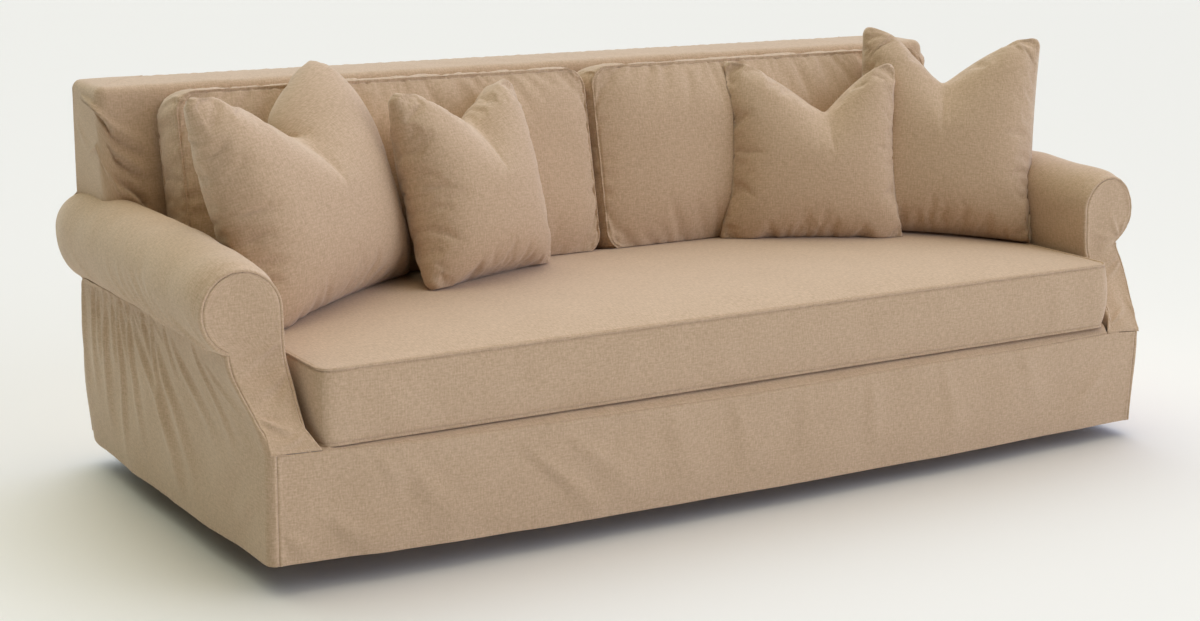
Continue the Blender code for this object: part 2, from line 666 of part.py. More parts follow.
def build():
    for item in list(bpy.data.objects):
        bpy.data.objects.remove(item, do_unlink=True)
    parts = bpy.data.collections.new("sofa_slipcover")
    cutters = bpy.data.collections.new("cutters")
    for collection in (parts, cutters):
        bpy.context.scene.collection.children.link(collection)
    cloth = linen()

    add_panel("front_skirt", (36, 5), skirt_place, SKIRT_FOLDS, parts, cloth)
    add_panel("deck", (16, 6), deck_place, NO_FOLDS, parts, cloth)
    add_panel("outside_back", (14, len(BACK_LEVELS) - 1), outside_back_place,
              OUTSIDE_BACK_FOLDS, parts, cloth)
    inside_back = add_panel("inside_back", (30, 15), inside_back_place, INSIDE_BACK_FOLDS,
                            parts, cloth)
    back_core = add_back_core(cutters)
    arm_cores = {}
    for side, word in ((-1, "left"), (1, "right")):
        left = side < 0
        arm = add_panel("arm_" + word, (20, 16), arm_place(side),
                        LEFT_ROLL_FOLDS if left else RIGHT_ROLL_FOLDS, parts, cloth,
                        mirrored=left)
        cut_away(arm, (back_core,))
        arm_cores[word] = add_arm_core(side, cutters)
        add_panel("outside_arm_" + word, (34, 8), outside_arm_place(side),
                  LEFT_SIDE_FOLDS if left else RIGHT_SIDE_FOLDS, parts, cloth, mirrored=left)
        add_panel("arm_front_" + word, (6, 16), arm_front_place(side), NO_FOLDS, parts,
                  cloth, mirrored=left)
    cut_away(inside_back, arm_cores.values())

    seat_middle = Vector((0.0, 0.5 * (SEAT_FRONT + SEAT_REAR), 0.5 * (DECK + GAP + SEAT_EDGE)))
    seat = add_boxed("seat_cushion", (22, 9, 2),
                     (SEAT_HALF, 0.5 * (SEAT_REAR - SEAT_FRONT), 0.5 * (SEAT_EDGE - DECK - GAP)),
                     SEAT_FILLING, Matrix.Translation(seat_middle), parts, cloth)
    seat_clear = add_clearance(seat, cutters)

    back_clear = {}
    for cushion in BACK_CUSHIONS:
        foot = Vector((cushion.across, *BACK_CUSHION_FOOT))
        stand = Matrix.Rotation(0.5 * pi - BACK_CUSHION_LEAN, 4, "X")
        middle = Matrix.Translation((0.0, 0.5 * BACK_CUSHION_HEIGHT, -0.5 * BACK_CUSHION_DEEP))
        item = add_boxed(cushion.name, (12, 8, 2),
                         (BACK_CUSHION_HALF, 0.5 * BACK_CUSHION_HEIGHT, 0.5 * BACK_CUSHION_DEEP),
                         BACK_FILLING, Matrix.Translation(foot) @ stand @ middle, parts, cloth)
        back_clear[cushion.name] = add_clearance(item, cutters)
        cut_away(item, (seat_clear,))

    leant_on = {
        "pillow_right_large": ("back_cushion_right",),
        "pillow_right_small": ("back_cushion_right", "pillow_right_large"),
        "pillow_left_large": ("back_cushion_left",),
        "pillow_left_small": ("back_cushion_left", "pillow_left_large"),
    }
    clear = dict(back_clear)
    for pillow in PILLOWS:
        item = add_pillow(pillow, parts, cloth)
        clear[pillow.name] = add_clearance(item, cutters)
        word = "left" if "left" in pillow.name else "right"
        cut_away(item, [seat_clear, arm_cores[word]]
                 + [clear[name] for name in leant_on[pillow.name]])


build()
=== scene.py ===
"""Loose linen cover of a rolled-arm sofa, with its seat cushion, back cushions and pillows.

The cover is a hollow shell of sewn panels. Each panel is laid out in floor coordinates:
x to the right, y from the front of the seat rail to the back, heights from the floor. The
finished pieces are moved so that the origin is where the sofa carries the cover, at the top
of its back.
"""

from collections import namedtuple
from math import cos, hypot, pi, radians, sin

import bmesh
import bpy
import numpy as np
from mathutils import Matrix, Vector
from mathutils.bvhtree import BVHTree


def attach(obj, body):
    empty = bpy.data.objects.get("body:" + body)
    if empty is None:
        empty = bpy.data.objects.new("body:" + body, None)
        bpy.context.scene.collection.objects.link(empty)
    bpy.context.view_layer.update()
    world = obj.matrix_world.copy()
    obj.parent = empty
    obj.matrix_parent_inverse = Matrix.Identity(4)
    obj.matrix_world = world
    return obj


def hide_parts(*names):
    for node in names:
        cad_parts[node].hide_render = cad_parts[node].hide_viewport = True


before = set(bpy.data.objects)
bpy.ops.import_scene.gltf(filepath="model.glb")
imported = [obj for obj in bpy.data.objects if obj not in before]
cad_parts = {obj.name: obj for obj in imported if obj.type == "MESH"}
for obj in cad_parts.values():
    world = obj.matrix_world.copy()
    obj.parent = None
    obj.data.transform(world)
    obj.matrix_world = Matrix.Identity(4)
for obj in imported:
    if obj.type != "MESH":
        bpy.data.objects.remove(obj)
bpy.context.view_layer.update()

bl_info = {
    "name": "Sofa slipcover",
    "version": (1, 0, 0),
    "blender": (4, 5, 0),
    "location": "View3D > Sidebar > Slipcover",
    "description": "Linen slipcover of a rolled-arm sofa, with its cushions and pillows",
    "category": "Object",
}

BODY = "root"
LINEN = "woven linen"    # the name of the cloth's material

# Sizes that the cover shares with its sewn panels, in metres.
CLOTH = 0.0018           # thickness of the upholstery linen
GAP = 0.0003             # left between two pieces that meet
BASE_HALF = 1.159        # half the width across the front corners
BACK_HALF = 1.179        # half the width of the back above the arms
REAR = 1.050             # inner face of the outside back
TOP = 0.904              # rear edge of the top
TOP_CROWN = 0.004        # how far the top rises between its edges
CROWN_RUN = 0.06         # the top comes down flat over this run to the rear seam
TOP_RADIUS = 0.020       # rounding of the top's edge
BACK_CORNER = 0.028      # rounding of the back's upright corners
DECK = 0.2895            # upper face of the deck
DECK_HALF = 1.0585
WALL_FOOT = 0.280        # foot of the arms' inner walls and of the inside back
ROLL_ACROSS = 1.155      # half width out to the middle of a roll
ROLL_SWEEP = radians(250)         # how far the cloth goes round the roll
ROLL_SWEEP_REAR = radians(259)    # behind the front it runs on inside the seam
SWEEP_GROWS = (0.14, 0.30)        # from the one depth to the other
WALL_SHARE = 0.25        # share of the arm panel that is the upright inner wall
RIGHT_SLIM = 0.85        # the right arm's outside against the left one's
RIGHT_PINCH = 0.012      # how much it is drawn in further at the neck
RIGHT_PINCH_SPAN = 0.035
RIGHT_TAPER = 0.012      # and down to the hem
NECK_HEIGHT = 0.465      # where the arm front is narrowest, under the roll
NECK_HALF = 1.196
NECK_HALF_REAR = 1.186
SIDE_BEND = 0.64         # share of a side's depth over which it takes the rear's half width
SIDE_TUCK = 0.012        # how far the sides turn in to the rear corners
SIDE_TUCK_RUN = 0.060
HEM_REAR = 0.060
HEM_CURL = 0.018         # how far the hem rises to the rear corners
HEM_CURL_RUN = 0.090
HEM_CORNER_POWER = 12
PANEL_OVER = 0.003       # how far the outside back reaches past the sides
WRAP = 0.008             # how far a panel turns round its corner before a face seam
CORNER_WRAP = 0.018      # the same at the base's front corners
WRAP_RUN = 0.05          # height over which it goes from the one to the other
REAR_WRAP = 0.005        # the same at the seams of the outside back
REAR_PANEL_IN = 0.003    # how far the outside back stays inside that turn
TOP_ROW, FOOT_ROW = 0.999, 0.001  # past these a panel's row is its edge

# Where the sofa carries the cover, in floor coordinates: the origin of every piece.
CARRIED_AT = np.array((0.0, 0.982, 0.912))

RollSection = namedtuple("RollSection", "depth height radius drop")
ROLL = [RollSection(*row) for row in (
    (0.12, 0.545, 0.088, 0.088),
    (0.13, 0.545, 0.088, 0.088),
    (0.16, 0.550, 0.092, 0.093),
    (0.20, 0.553, 0.094, 0.098),
    (0.50, 0.565, 0.094, 0.108),
    (0.95, 0.567, 0.090, 0.118),
    (1.00, 0.568, 0.086, 0.122),
    (1.05, 0.569, 0.077, 0.125),
)]
ArmFrontLevel = namedtuple("ArmFrontLevel", "height set_back outer")
ARM_FRONT = [ArmFrontLevel(*row) for row in (
    (0.290, 0.000, 1.159),
    (0.320, 0.020, 1.164),
    (0.360, 0.052, 1.174),
    (0.400, 0.082, 1.186),
    (0.430, 0.103, 1.193),
    (NECK_HEIGHT, 0.117, NECK_HALF),
    (0.545, 0.123, 1.243),
    (0.640, 0.128, 1.155),
)]
SideLevel = namedtuple("SideLevel", "height rear_half")
SIDE_REAR = [SideLevel(*row) for row in (
    (0.060, 1.177),
    (0.232, 1.191),
    (0.460, 1.185),
)]
InsideBackLevel = namedtuple("InsideBackLevel", "height depth")
INSIDE_BACK = [InsideBackLevel(*row) for row in (
    (0.280, 0.776),
    (0.470, 0.806),
    (0.904, 0.880),
)]
RailStation = namedtuple("RailStation", "across seam hem swell")
RAIL = [RailStation(*row) for row in (
    (-1.159, 0.290, 0.065, 0.000),
    (-1.050, 0.285, 0.062, 0.000),
    (-0.880, 0.281, 0.058, 0.012),
    (-0.450, 0.272, 0.050, 0.019),
    (0.000, 0.268, 0.046, 0.020),
    (0.450, 0.272, 0.043, 0.018),
    (0.800, 0.269, 0.042, 0.010),
    (1.050, 0.270, 0.041, 0.000),
    (1.159, 0.264, 0.040, 0.000),
)]

# What is worked into a panel. Places are (across, up) fractions of the panel; widths,
# heights, bows and reaches are in metres. A fold runs from where the cloth is held, where
# it is narrow, to where it dies out; a fan is a row of folds from one line to another.
# Puckers stand along one edge; waves are the cloth's broad unevenness.
Fold = namedtuple("Fold", "start end width height bow", defaults=(0.0,))
Fan = namedtuple("Fan", "first last count width height seed")
Puckers = namedtuple("Puckers", "edge begin end reach pitch height seed")
Waves = namedtuple("Waves", "size height seed")
Work = namedtuple("Work", "sewn folds waves puckers fans", defaults=((),))

SKIRT_WORK = Work(
    sewn=("left", "right", "head"),
    folds=(
        Fold((0.010, 0.250), (0.032, 0.040), 0.016, 0.0050),
        Fold((0.050, 0.370), (0.117, 0.056), 0.024, 0.0060, -0.016),
        Fold((0.092, 0.900), (0.122, 0.600), 0.015, 0.0045),
        Fold((0.123, 0.800), (0.187, 0.110), 0.026, 0.0050, -0.012),
        Fold((0.243, 0.760), (0.325, 0.034), 0.017, 0.0068),
        Fold((0.295, 0.740), (0.361, 0.114), 0.024, 0.0064, 0.009),
        Fold((0.392, 0.950), (0.425, 0.100), 0.030, 0.0030),
        Fold((0.465, 0.946), (0.493, 0.150), 0.022, 0.0034),
        Fold((0.548, 0.940), (0.560, 0.150), 0.026, 0.0024),
        Fold((0.631, 0.900), (0.643, 0.100), 0.020, 0.0034),
        Fold((0.725, 0.944), (0.751, 0.152), 0.020, 0.0034),
        Fold((0.834, 0.960), (0.866, 0.300), 0.022, 0.0034),
        Fold((0.955, 0.600), (0.900, 0.060), 0.024, 0.0034),
    ),
    fans=(Fan(((0.040, 1.0), (0.036, 0.84)), ((0.075, 1.0), (0.092, 0.80)), 5, 0.005, 0.0030, 3),),
    puckers=(
        Puckers("head", 0.05, 1.0, 0.018, 0.030, 0.0010, 11),
        Puckers("left", 0.0, 1.0, 0.012, 0.026, 0.0008, 12),
        Puckers("right", 0.0, 1.0, 0.012, 0.026, 0.0006, 10),
    ),
    waves=(Waves(0.30, 0.0014, 21), Waves(0.09, 0.0005, 22)),
)
DECK_WORK = Work(
    sewn=("foot",),
    folds=(
        Fold((0.302, 0.004), (0.318, 0.040), 0.008, 0.0030),
        Fold((0.258, 0.004), (0.264, 0.045), 0.008, 0.0024),
        Fold((0.006, 0.004), (0.016, 0.042), 0.006, 0.0034),
        Fold((0.986, 0.004), (0.976, 0.042), 0.007, 0.0030),
    ),
    puckers=(Puckers("foot", 0.0, 1.0, 0.014, 0.040, 0.0014, 13),),
    waves=(Waves(0.25, 0.0006, 23),),
)
INSIDE_BACK_WORK = Work(
    sewn=("left", "right", "head"),
    folds=(
        Fold((0.028, 0.742), (0.118, 0.590), 0.011, 0.0160, 0.020),
        Fold((0.026, 0.726), (0.116, 0.574), 0.007, -0.0130, 0.020),
        Fold((0.104, 0.434), (0.074, 0.524), 0.009, 0.0170, -0.012),
        Fold((0.107, 0.446), (0.077, 0.536), 0.007, -0.0140, -0.012),
        Fold((0.040, 0.432), (0.076, 0.520), 0.009, 0.0080),
        Fold((0.080, 0.618), (0.113, 0.535), 0.009, 0.0120),
        Fold((0.078, 0.604), (0.111, 0.521), 0.007, -0.0090),
        Fold((0.012, 0.560), (0.030, 0.420), 0.012, 0.0030),
        Fold((0.001, 0.798), (0.030, 0.762), 0.004, 0.0030),
        Fold((0.972, 0.742), (0.885, 0.600), 0.009, 0.0120, -0.018),
        Fold((0.900, 0.440), (0.925, 0.530), 0.009, 0.0050),
        Fold((0.999, 0.798), (0.970, 0.762), 0.004, 0.0030),
        Fold((0.300, 0.700), (0.360, 0.300), 0.035, 0.0030),
        Fold((0.660, 0.700), (0.620, 0.300), 0.035, 0.0030),
    ),
    puckers=(Puckers("head", 0.08, 0.92, 0.020, 0.034, 0.0010, 14),),
    waves=(Waves(0.35, 0.0010, 24), Waves(0.10, 0.0004, 25)),
)
OUTSIDE_BACK_WORK = Work(
    sewn=("left", "right", "head"),
    folds=(
        Fold((0.10, 0.98), (0.20, 0.04), 0.045, 0.0060),
        Fold((0.33, 0.80), (0.36, 0.02), 0.045, 0.0050),
        Fold((0.58, 0.90), (0.55, 0.02), 0.050, 0.0060),
        Fold((0.90, 0.98), (0.80, 0.04), 0.045, 0.0070),
        Fold((0.03, 0.66), (0.11, 0.20), 0.028, 0.0050),
        Fold((0.97, 0.66), (0.90, 0.22), 0.028, 0.0050),
    ),
    puckers=(Puckers("head", 0.0, 1.0, 0.022, 0.036, 0.0012, 15),),
    waves=(Waves(0.40, 0.0030, 26), Waves(0.12, 0.0008, 27)),
)
ARM_LEFT_WORK = Work(
    sewn=("right", "foot", "head"),
    folds=(
        Fold((0.921, 0.753), (0.851, 0.852), 0.010, 0.0037, 0.009),
        Fold((0.915, 0.486), (0.798, 0.581), 0.010, 0.0042, -0.008),
        Fold((0.930, 0.399), (0.781, 0.500), 0.009, 0.0042, -0.014),
        Fold((0.950, 0.345), (0.787, 0.448), 0.008, 0.0042, -0.011),
        Fold((0.970, 0.258), (0.769, 0.423), 0.010, 0.0055, -0.014),
        Fold((0.970, 0.161), (0.775, 0.375), 0.008, 0.0060, -0.014),
        Fold((0.955, 0.108), (0.769, 0.332), 0.009, 0.0063, -0.020),
        Fold((0.975, 0.068), (0.851, 0.235), 0.008, 0.0045, 0.012),
        Fold((0.980, 0.048), (0.815, 0.264), 0.009, 0.0045),
        Fold((0.975, 0.026), (0.807, 0.085), 0.008, 0.0030, 0.004),
    ),
    fans=(
        Fan(((0.99, 0.56), (0.86, 0.66)), ((0.99, 0.06), (0.84, 0.20)), 19, 0.0048, 0.0020, 5),
    ),
    puckers=(Puckers("right", 0.0, 1.0, 0.018, 0.018, 0.0012, 16),
             Puckers("foot", 0.25, 1.0, 0.010, 0.024, 0.0006, 17)),
    waves=(Waves(0.22, 0.0014, 28), Waves(0.07, 0.0004, 29)),
)
ARM_RIGHT_WORK = Work(
    sewn=("right", "foot", "head"),
    folds=(),
    fans=(
        Fan(((0.99, 0.06), (0.80, 0.10)), ((0.99, 0.74), (0.80, 0.80)), 12, 0.008, 0.0024, 7),
    ),
    puckers=(Puckers("right", 0.0, 1.0, 0.020, 0.022, 0.0012, 18),
             Puckers("foot", 0.25, 1.0, 0.010, 0.024, 0.0006, 19)),
    waves=(Waves(0.22, 0.0014, 30), Waves(0.07, 0.0004, 31)),
)
SIDE_LEFT_WORK = Work(
    sewn=("left", "right", "head"),
    folds=(
        Fold((0.637, 0.930), (0.609, 0.200), 0.014, 0.0080, 0.009),
        Fold((0.590, 0.800), (0.407, 0.050), 0.018, 0.0085, -0.030),
        Fold((0.466, 0.800), (0.326, 0.140), 0.018, 0.0075),
        Fold((0.489, 0.930), (0.436, 0.300), 0.013, 0.0065, 0.026),
        Fold((0.342, 0.880), (0.230, 0.460), 0.016, 0.0065),
        Fold((0.211, 0.920), (0.150, 0.450), 0.013, 0.0055, -0.008),
        Fold((0.155, 0.874), (0.066, 0.700), 0.010, 0.0045),
        Fold((0.706, 0.930), (0.718, 0.060), 0.013, 0.0080),
        Fold((0.800, 0.950), (0.798, 0.160), 0.014, 0.0070, 0.005),
        Fold((0.897, 0.980), (0.868, 0.300), 0.014, 0.0060),
        Fold((0.857, 0.980), (0.830, 0.500), 0.011, 0.0055, 0.009),
        Fold((0.749, 0.980), (0.740, 0.520), 0.011, 0.0055, 0.008),
        Fold((0.688, 0.980), (0.660, 0.620), 0.010, 0.0060, 0.008),
        Fold((0.544, 0.970), (0.500, 0.640), 0.010, 0.0060, 0.004),
        Fold((0.400, 0.960), (0.370, 0.700), 0.010, 0.0055, 0.004),
        Fold((0.960, 0.960), (0.940, 0.200), 0.016, 0.0050),
        Fold((0.077, 0.300), (0.228, 0.040), 0.030, 0.0045),
        Fold((0.120, 0.480), (0.300, 0.140), 0.034, 0.0035),
    ),
    fans=(Fan(((0.96, 1.0), (0.945, 0.78)), ((0.50, 1.0), (0.40, 0.84)), 17, 0.0048, 0.0030, 8),),
    puckers=(Puckers("head", 0.0, 1.0, 0.016, 0.018, 0.0014, 20),
             Puckers("left", 0.0, 1.0, 0.010, 0.024, 0.0006, 32)),
    waves=(Waves(0.22, 0.0018, 33), Waves(0.08, 0.0005, 34)),
)
SIDE_RIGHT_WORK = Work(
    sewn=("left", "right", "head"),
    folds=(
        Fold((0.94, 0.98), (0.90, 0.30), 0.019, 0.0057),
        Fold((0.85, 0.98), (0.78, 0.20), 0.019, 0.0071, 0.008),
        Fold((0.74, 0.98), (0.62, 0.10), 0.022, 0.0081, 0.010),
        Fold((0.63, 0.98), (0.50, 0.40), 0.019, 0.0066),
        Fold((0.52, 0.96), (0.36, 0.30), 0.020, 0.0076, 0.010),
        Fold((0.40, 0.92), (0.24, 0.45), 0.019, 0.0062),
        Fold((0.28, 0.90), (0.15, 0.55), 0.016, 0.0052),
        Fold((0.06, 0.96), (0.12, 0.60), 0.016, 0.0043),
        Fold((0.10, 0.40), (0.26, 0.05), 0.037, 0.0043),
    ),
    fans=(Fan(((0.96, 1.0), (0.945, 0.78)), ((0.40, 1.0), (0.32, 0.84)), 19, 0.0050, 0.0030, 9),),
    puckers=(Puckers("head", 0.0, 1.0, 0.016, 0.018, 0.0014, 35),
             Puckers("left", 0.0, 1.0, 0.010, 0.024, 0.0006, 36)),
    waves=(Waves(0.22, 0.0018, 37), Waves(0.08, 0.0005, 38)),
)
FACE_LEFT_WORK = Work(
    sewn=("left", "right", "foot"),
    folds=(
        Fold((0.060, 0.617), (0.960, 0.491), 0.010, 0.0064, -0.003),
        Fold((0.100, 0.438), (0.940, 0.340), 0.012, 0.0080, -0.008),
        Fold((0.860, 0.200), (0.300, 0.120), 0.010, 0.0070, 0.004),
        Fold((0.200, 0.090), (0.900, 0.040), 0.008, 0.0060, -0.004),
        Fold((0.120, 0.340), (0.500, 0.180), 0.016, 0.0034),
    ),
    puckers=(Puckers("right", 0.0, 1.0, 0.008, 0.020, 0.0005, 39),
             Puckers("left", 0.0, 1.0, 0.008, 0.020, 0.0005, 40)),
    waves=(Waves(0.14, 0.0010, 41),),
)
FACE_RIGHT_WORK = Work(
    sewn=("left", "right", "foot"),
    folds=(
        Fold((0.990, 0.627), (0.520, 0.790), 0.0055, 0.0050, 0.009),
        Fold((0.990, 0.627), (0.920, 0.760), 0.0045, 0.0040, 0.006),
        Fold((0.990, 0.615), (0.074, 0.690), 0.0070, 0.0046, 0.007),
        Fold((0.990, 0.600), (0.400, 0.560), 0.0070, 0.0040),
        Fold((0.960, 0.456), (0.322, 0.354), 0.0075, 0.0050),
        Fold((0.970, 0.500), (0.500, 0.470), 0.0060, 0.0034),
        Fold((0.146, 0.074), (0.726, 0.180), 0.0090, 0.0044),
        Fold((0.985, 0.120), (0.880, 0.250), 0.0080, 0.0034),
    ),
    puckers=(Puckers("right", 0.0, 1.0, 0.008, 0.020, 0.0005, 42),
             Puckers("left", 0.0, 1.0, 0.008, 0.020, 0.0005, 43)),
    waves=(Waves(0.12, 0.0012, 44),),
)

# Filled pieces.
SEAT_HALF = 1.044
SEAT_FRONT, SEAT_REAR = 0.004, 0.757
SEAT_EDGE = 0.443
Filling = namedtuple("Filling", "corner crown bulge")
SEAT_FILLING = Filling(0.032, 0.032, 0.008)
BACK_FILLING = Filling(0.050, 0.040, 0.006)
BACK_CUSHION_HALF = 0.518
BACK_CUSHION_HEIGHT = 0.450
BACK_CUSHION_DEEP = 0.126
BACK_CUSHION_LEAN = radians(12.5)
BACK_CUSHION_FOOT = (0.646, 0.462)
BackCushion = namedtuple("BackCushion", "name across seed")
BACK_CUSHIONS = (
    BackCushion("back_cushion_left", -0.530, 51),
    BackCushion("back_cushion_right", 0.531, 52),
)
# Turned, leant back and tilted in degrees; spread is how much wider the foot is than the
# middle, and dent_at how far the dent lies towards the right end of the top, as shares.
Pillow = namedtuple(
    "Pillow", "name middle turn lean tilt width height thick spread dent dent_at fold")
PILLOWS = (
    Pillow("pillow_right_large", (0.934, 0.495, 0.710), -34, 22, 3.5,
           0.455, 0.540, 0.19, 0.02, 0.145, -0.08, 0.00),
    Pillow("pillow_right_small", (0.568, 0.583, 0.671), -24, 17, 1.0,
           0.445, 0.470, 0.18, 0.07, 0.135, 0.16, 0.00),
    Pillow("pillow_left_large", (-0.846, 0.522, 0.700), 31, 17, -4.0,
           0.580, 0.520, 0.22, 0.00, 0.140, 0.00, 0.05),
    Pillow("pillow_left_small", (-0.424, 0.545, 0.684), 20, 16, 0.0,
           0.395, 0.445, 0.21, 0.05, 0.085, 0.05, 0.00),
)
EAR_RADIUS = 0.026
DRAWN = 0.035                         # how far a side's middle is drawn in
FULLNESS = 0.37                       # how blunt a pillow's edges are: less is blunter
DENT_ROUND, DENT_CURVE = 0.05, 1.7    # the dent's rounded bottom and its slightly curved sides
DENT_VALLEY = 0.6                     # how much flatter the pillow is below the dent
EAR_RUN, EAR_BACK = 0.35, 0.8         # an ear that is folded back past the dent


# Reading the tables and mixing sizes.

def read(table, at, column):
    """A table's column at heights, depths or places across, on a smooth curve through it."""
    known = np.array([row[0] for row in table])
    worth = np.array([getattr(row, column) for row in table])
    run = np.diff(known)
    slope = np.diff(worth) / run
    lean = np.zeros(len(known))
    same = slope[:-1] * slope[1:] > 0.0
    lean[1:-1][same] = 2.0 * (slope[:-1] * slope[1:])[same] / (slope[:-1] + slope[1:])[same]
    lean[0], lean[-1] = slope[0], slope[-1]
    at = np.clip(at, known[0], known[-1])
    row = np.clip(np.searchsorted(known, at, side="right") - 1, 0, len(run) - 1)
    t = (at - known[row]) / run[row]
    return (worth[row] * (1 + 2 * t) * (1 - t) ** 2 + lean[row] * run[row] * t * (1 - t) ** 2
            + worth[row + 1] * t * t * (3 - 2 * t) + lean[row + 1] * run[row] * t * t * (t - 1))


def part(whole, start, stop):
    """How far `whole` is along the stretch from start to stop, from 0 to 1."""
    return np.clip((whole - start) / (stop - start), 0.0, 1.0)


def mix(start, stop, share):
    return start + (stop - start) * share


def curl(away, radius):
    """How far cloth has turned in at a distance from its edge, over a rounded corner."""
    short = 1.0 - np.clip(away / radius, 0.0, 1.0)
    return radius * (1.0 - np.sqrt(1.0 - short ** 2))


def spots(x, y, z):
    return np.stack(np.broadcast_arrays(x, y, z), axis=-1)


# Where each panel lies: functions of the place across and up the panel, from 0 to 1.

def corner_height(side):
    return read(RAIL, side * BASE_HALF, "seam")


def arm_front(side, level, column):
    """The arm front's table, stretched down to where this side's rail seam meets the corner."""
    neck, foot = NECK_HEIGHT, ARM_FRONT[0].height
    below = mix(neck, foot, (neck - level) / (neck - corner_height(side)))
    return read(ARM_FRONT, np.where(level < neck, below, level), column)


def corner_wrap(side, level):
    """How far the side turns round the front corner: less up the arm front than at the base."""
    seam = corner_height(side)
    return mix(CORNER_WRAP, WRAP, part(level, seam, seam + WRAP_RUN))


def outer(side, half, level):
    """The half width out to a place past the roll's middle; the right arm is the slimmer."""
    if side < 0:
        return half
    pinch = RIGHT_PINCH * np.exp(-(((level - NECK_HEIGHT) / RIGHT_PINCH_SPAN) ** 2))
    taper = RIGHT_TAPER * part(-level, -ARM_FRONT[0].height, 0.0)
    slim = ROLL_ACROSS + (half - ROLL_ACROSS) * RIGHT_SLIM - pinch - taper
    return np.where(half < ROLL_ACROSS, half, slim)


def arm_section(along, depth, turned_in=0.0):
    """(half width, height) on the arm's outline, from the foot of the inner wall round the roll."""
    height = read(ROLL, depth, "height")
    radius = read(ROLL, depth, "radius") - turned_in
    sweep = mix(ROLL_SWEEP, ROLL_SWEEP_REAR, part(depth, *SWEEP_GROWS))
    angle = sweep * part(along, WALL_SHARE, 1.0)
    tall = np.where(angle < pi, radius, read(ROLL, depth, "drop") - turned_in)
    wall = along < WALL_SHARE
    half = np.where(wall, ROLL_ACROSS - radius, ROLL_ACROSS - radius * np.cos(angle))
    level = np.where(wall, mix(WALL_FOOT, height, along / WALL_SHARE),
                     height + tall * np.sin(angle))
    return half, level


def arm_place(side):
    def place(along, back):
        foremost = arm_section(along, ROLL[0].depth)[1]
        front = arm_front(side, foremost, "set_back") - CLOTH
        depth = mix(front, REAR - GAP, back)
        turned_in = curl(depth - front, WRAP) + curl(REAR - GAP - depth, REAR_WRAP)
        half, height = arm_section(along, depth, turned_in)
        return spots(side * outer(side, half, height), depth, height)
    return place


def roll_seam(depth, half):
    """Height of the roll's underside at a half width."""
    share = np.clip((half - ROLL_ACROSS) / read(ROLL, depth, "radius"), -1.0, 1.0)
    return read(ROLL, depth, "height") - read(ROLL, depth, "drop") * np.sqrt(1.0 - share ** 2)


# Shares of the inside back: up to the top's edge and over it, and from either end round the
# side return and its corner.
BACK_RISE, BACK_ROUND = 0.60, 0.80
SIDE_SHARE, CORNER_SHARE = 0.10, 0.20
RETURN_FOOT = 0.60       # foot of the side returns, inside the rolls


def back_plan(along, depth, inset):
    """(x, y) on the U: rear left, round the left edge, across the front, and to the rear right."""
    half = BACK_HALF - inset
    front = np.minimum(depth + inset, REAR - GAP)
    radius = np.maximum(np.minimum(BACK_CORNER - inset, (REAR - GAP - front) * 0.5), 0.0)
    mirror = np.where(along < 0.5, -1.0, 1.0)
    near = np.minimum(along, 1.0 - along)
    angle = 0.5 * pi * part(near, SIDE_SHARE, CORNER_SHARE)
    on_side, on_corner = near < SIDE_SHARE, near < CORNER_SHARE
    x = np.where(on_side, half, np.where(on_corner, half - radius * (1 - np.cos(angle)),
                                         (half - radius) * (0.5 - near) / (0.5 - CORNER_SHARE)))
    side_y = mix(REAR - GAP, front + radius, near / SIDE_SHARE)
    y = np.where(on_side, side_y, np.where(on_corner, front + radius * (1 - np.sin(angle)), front))
    return mirror * x, y


def inside_back_place(along, up):
    near = np.minimum(along, 1.0 - along)
    foot = mix(RETURN_FOOT, WALL_FOOT, part(near, SIDE_SHARE, CORNER_SHARE))
    angle = 0.5 * pi * part(up, BACK_RISE, BACK_ROUND)
    over = part(up, BACK_ROUND, 1.0)
    deep = REAR - GAP - read(INSIDE_BACK, TOP, "depth")
    height = np.where(up <= BACK_RISE, mix(foot, TOP - TOP_RADIUS, up / BACK_RISE),
                      TOP - TOP_RADIUS * (1 - np.sin(angle)))
    inset = np.where(up <= BACK_ROUND, TOP_RADIUS * (1 - np.cos(angle)),
                     mix(TOP_RADIUS, deep, over))
    x, y = back_plan(along, read(INSIDE_BACK, height, "depth"), inset)
    crown = TOP_CROWN * np.sin(pi * over) * part(-y, -REAR, CROWN_RUN - REAR)
    return spots(x, y, height + crown)


def hem_lift(depth):
    return HEM_CURL * part(depth, REAR - HEM_CURL_RUN, REAR) ** 2


def outside_arm_place(side):
    def place(back, up):
        corner = corner_height(side)
        lower, upper = part(up, 0.0, 0.5), part(up, 0.5, 1.0)
        front_level = mix(mix(read(RAIL, side * BASE_HALF, "hem"), corner, lower),
                          roll_seam(ROLL[0].depth, NECK_HALF), upper)
        rear_level = mix(mix(HEM_REAR, corner, lower), roll_seam(REAR, NECK_HALF_REAR), upper)
        front = arm_front(side, front_level, "set_back") - CLOTH
        depth = mix(front, REAR - GAP, back)
        half = mix(arm_front(side, front_level, "outer"),
                   read(SIDE_REAR, rear_level, "rear_half"),
                   np.sin(0.5 * pi * part(back, 0.0, SIDE_BEND)))
        level = mix(front_level, rear_level, back) + hem_lift(depth) * (1.0 - lower)
        level = np.where(up > TOP_ROW, roll_seam(depth, half - CLOTH) - GAP, level)
        half = half - SIDE_TUCK * part(depth, REAR - SIDE_TUCK_RUN, REAR) ** 2
        half = outer(side, half, level) - curl(REAR - GAP - depth, REAR_WRAP)
        half = half - curl(depth - front, corner_wrap(side, front_level))
        return spots(side * half, depth, level)
    return place


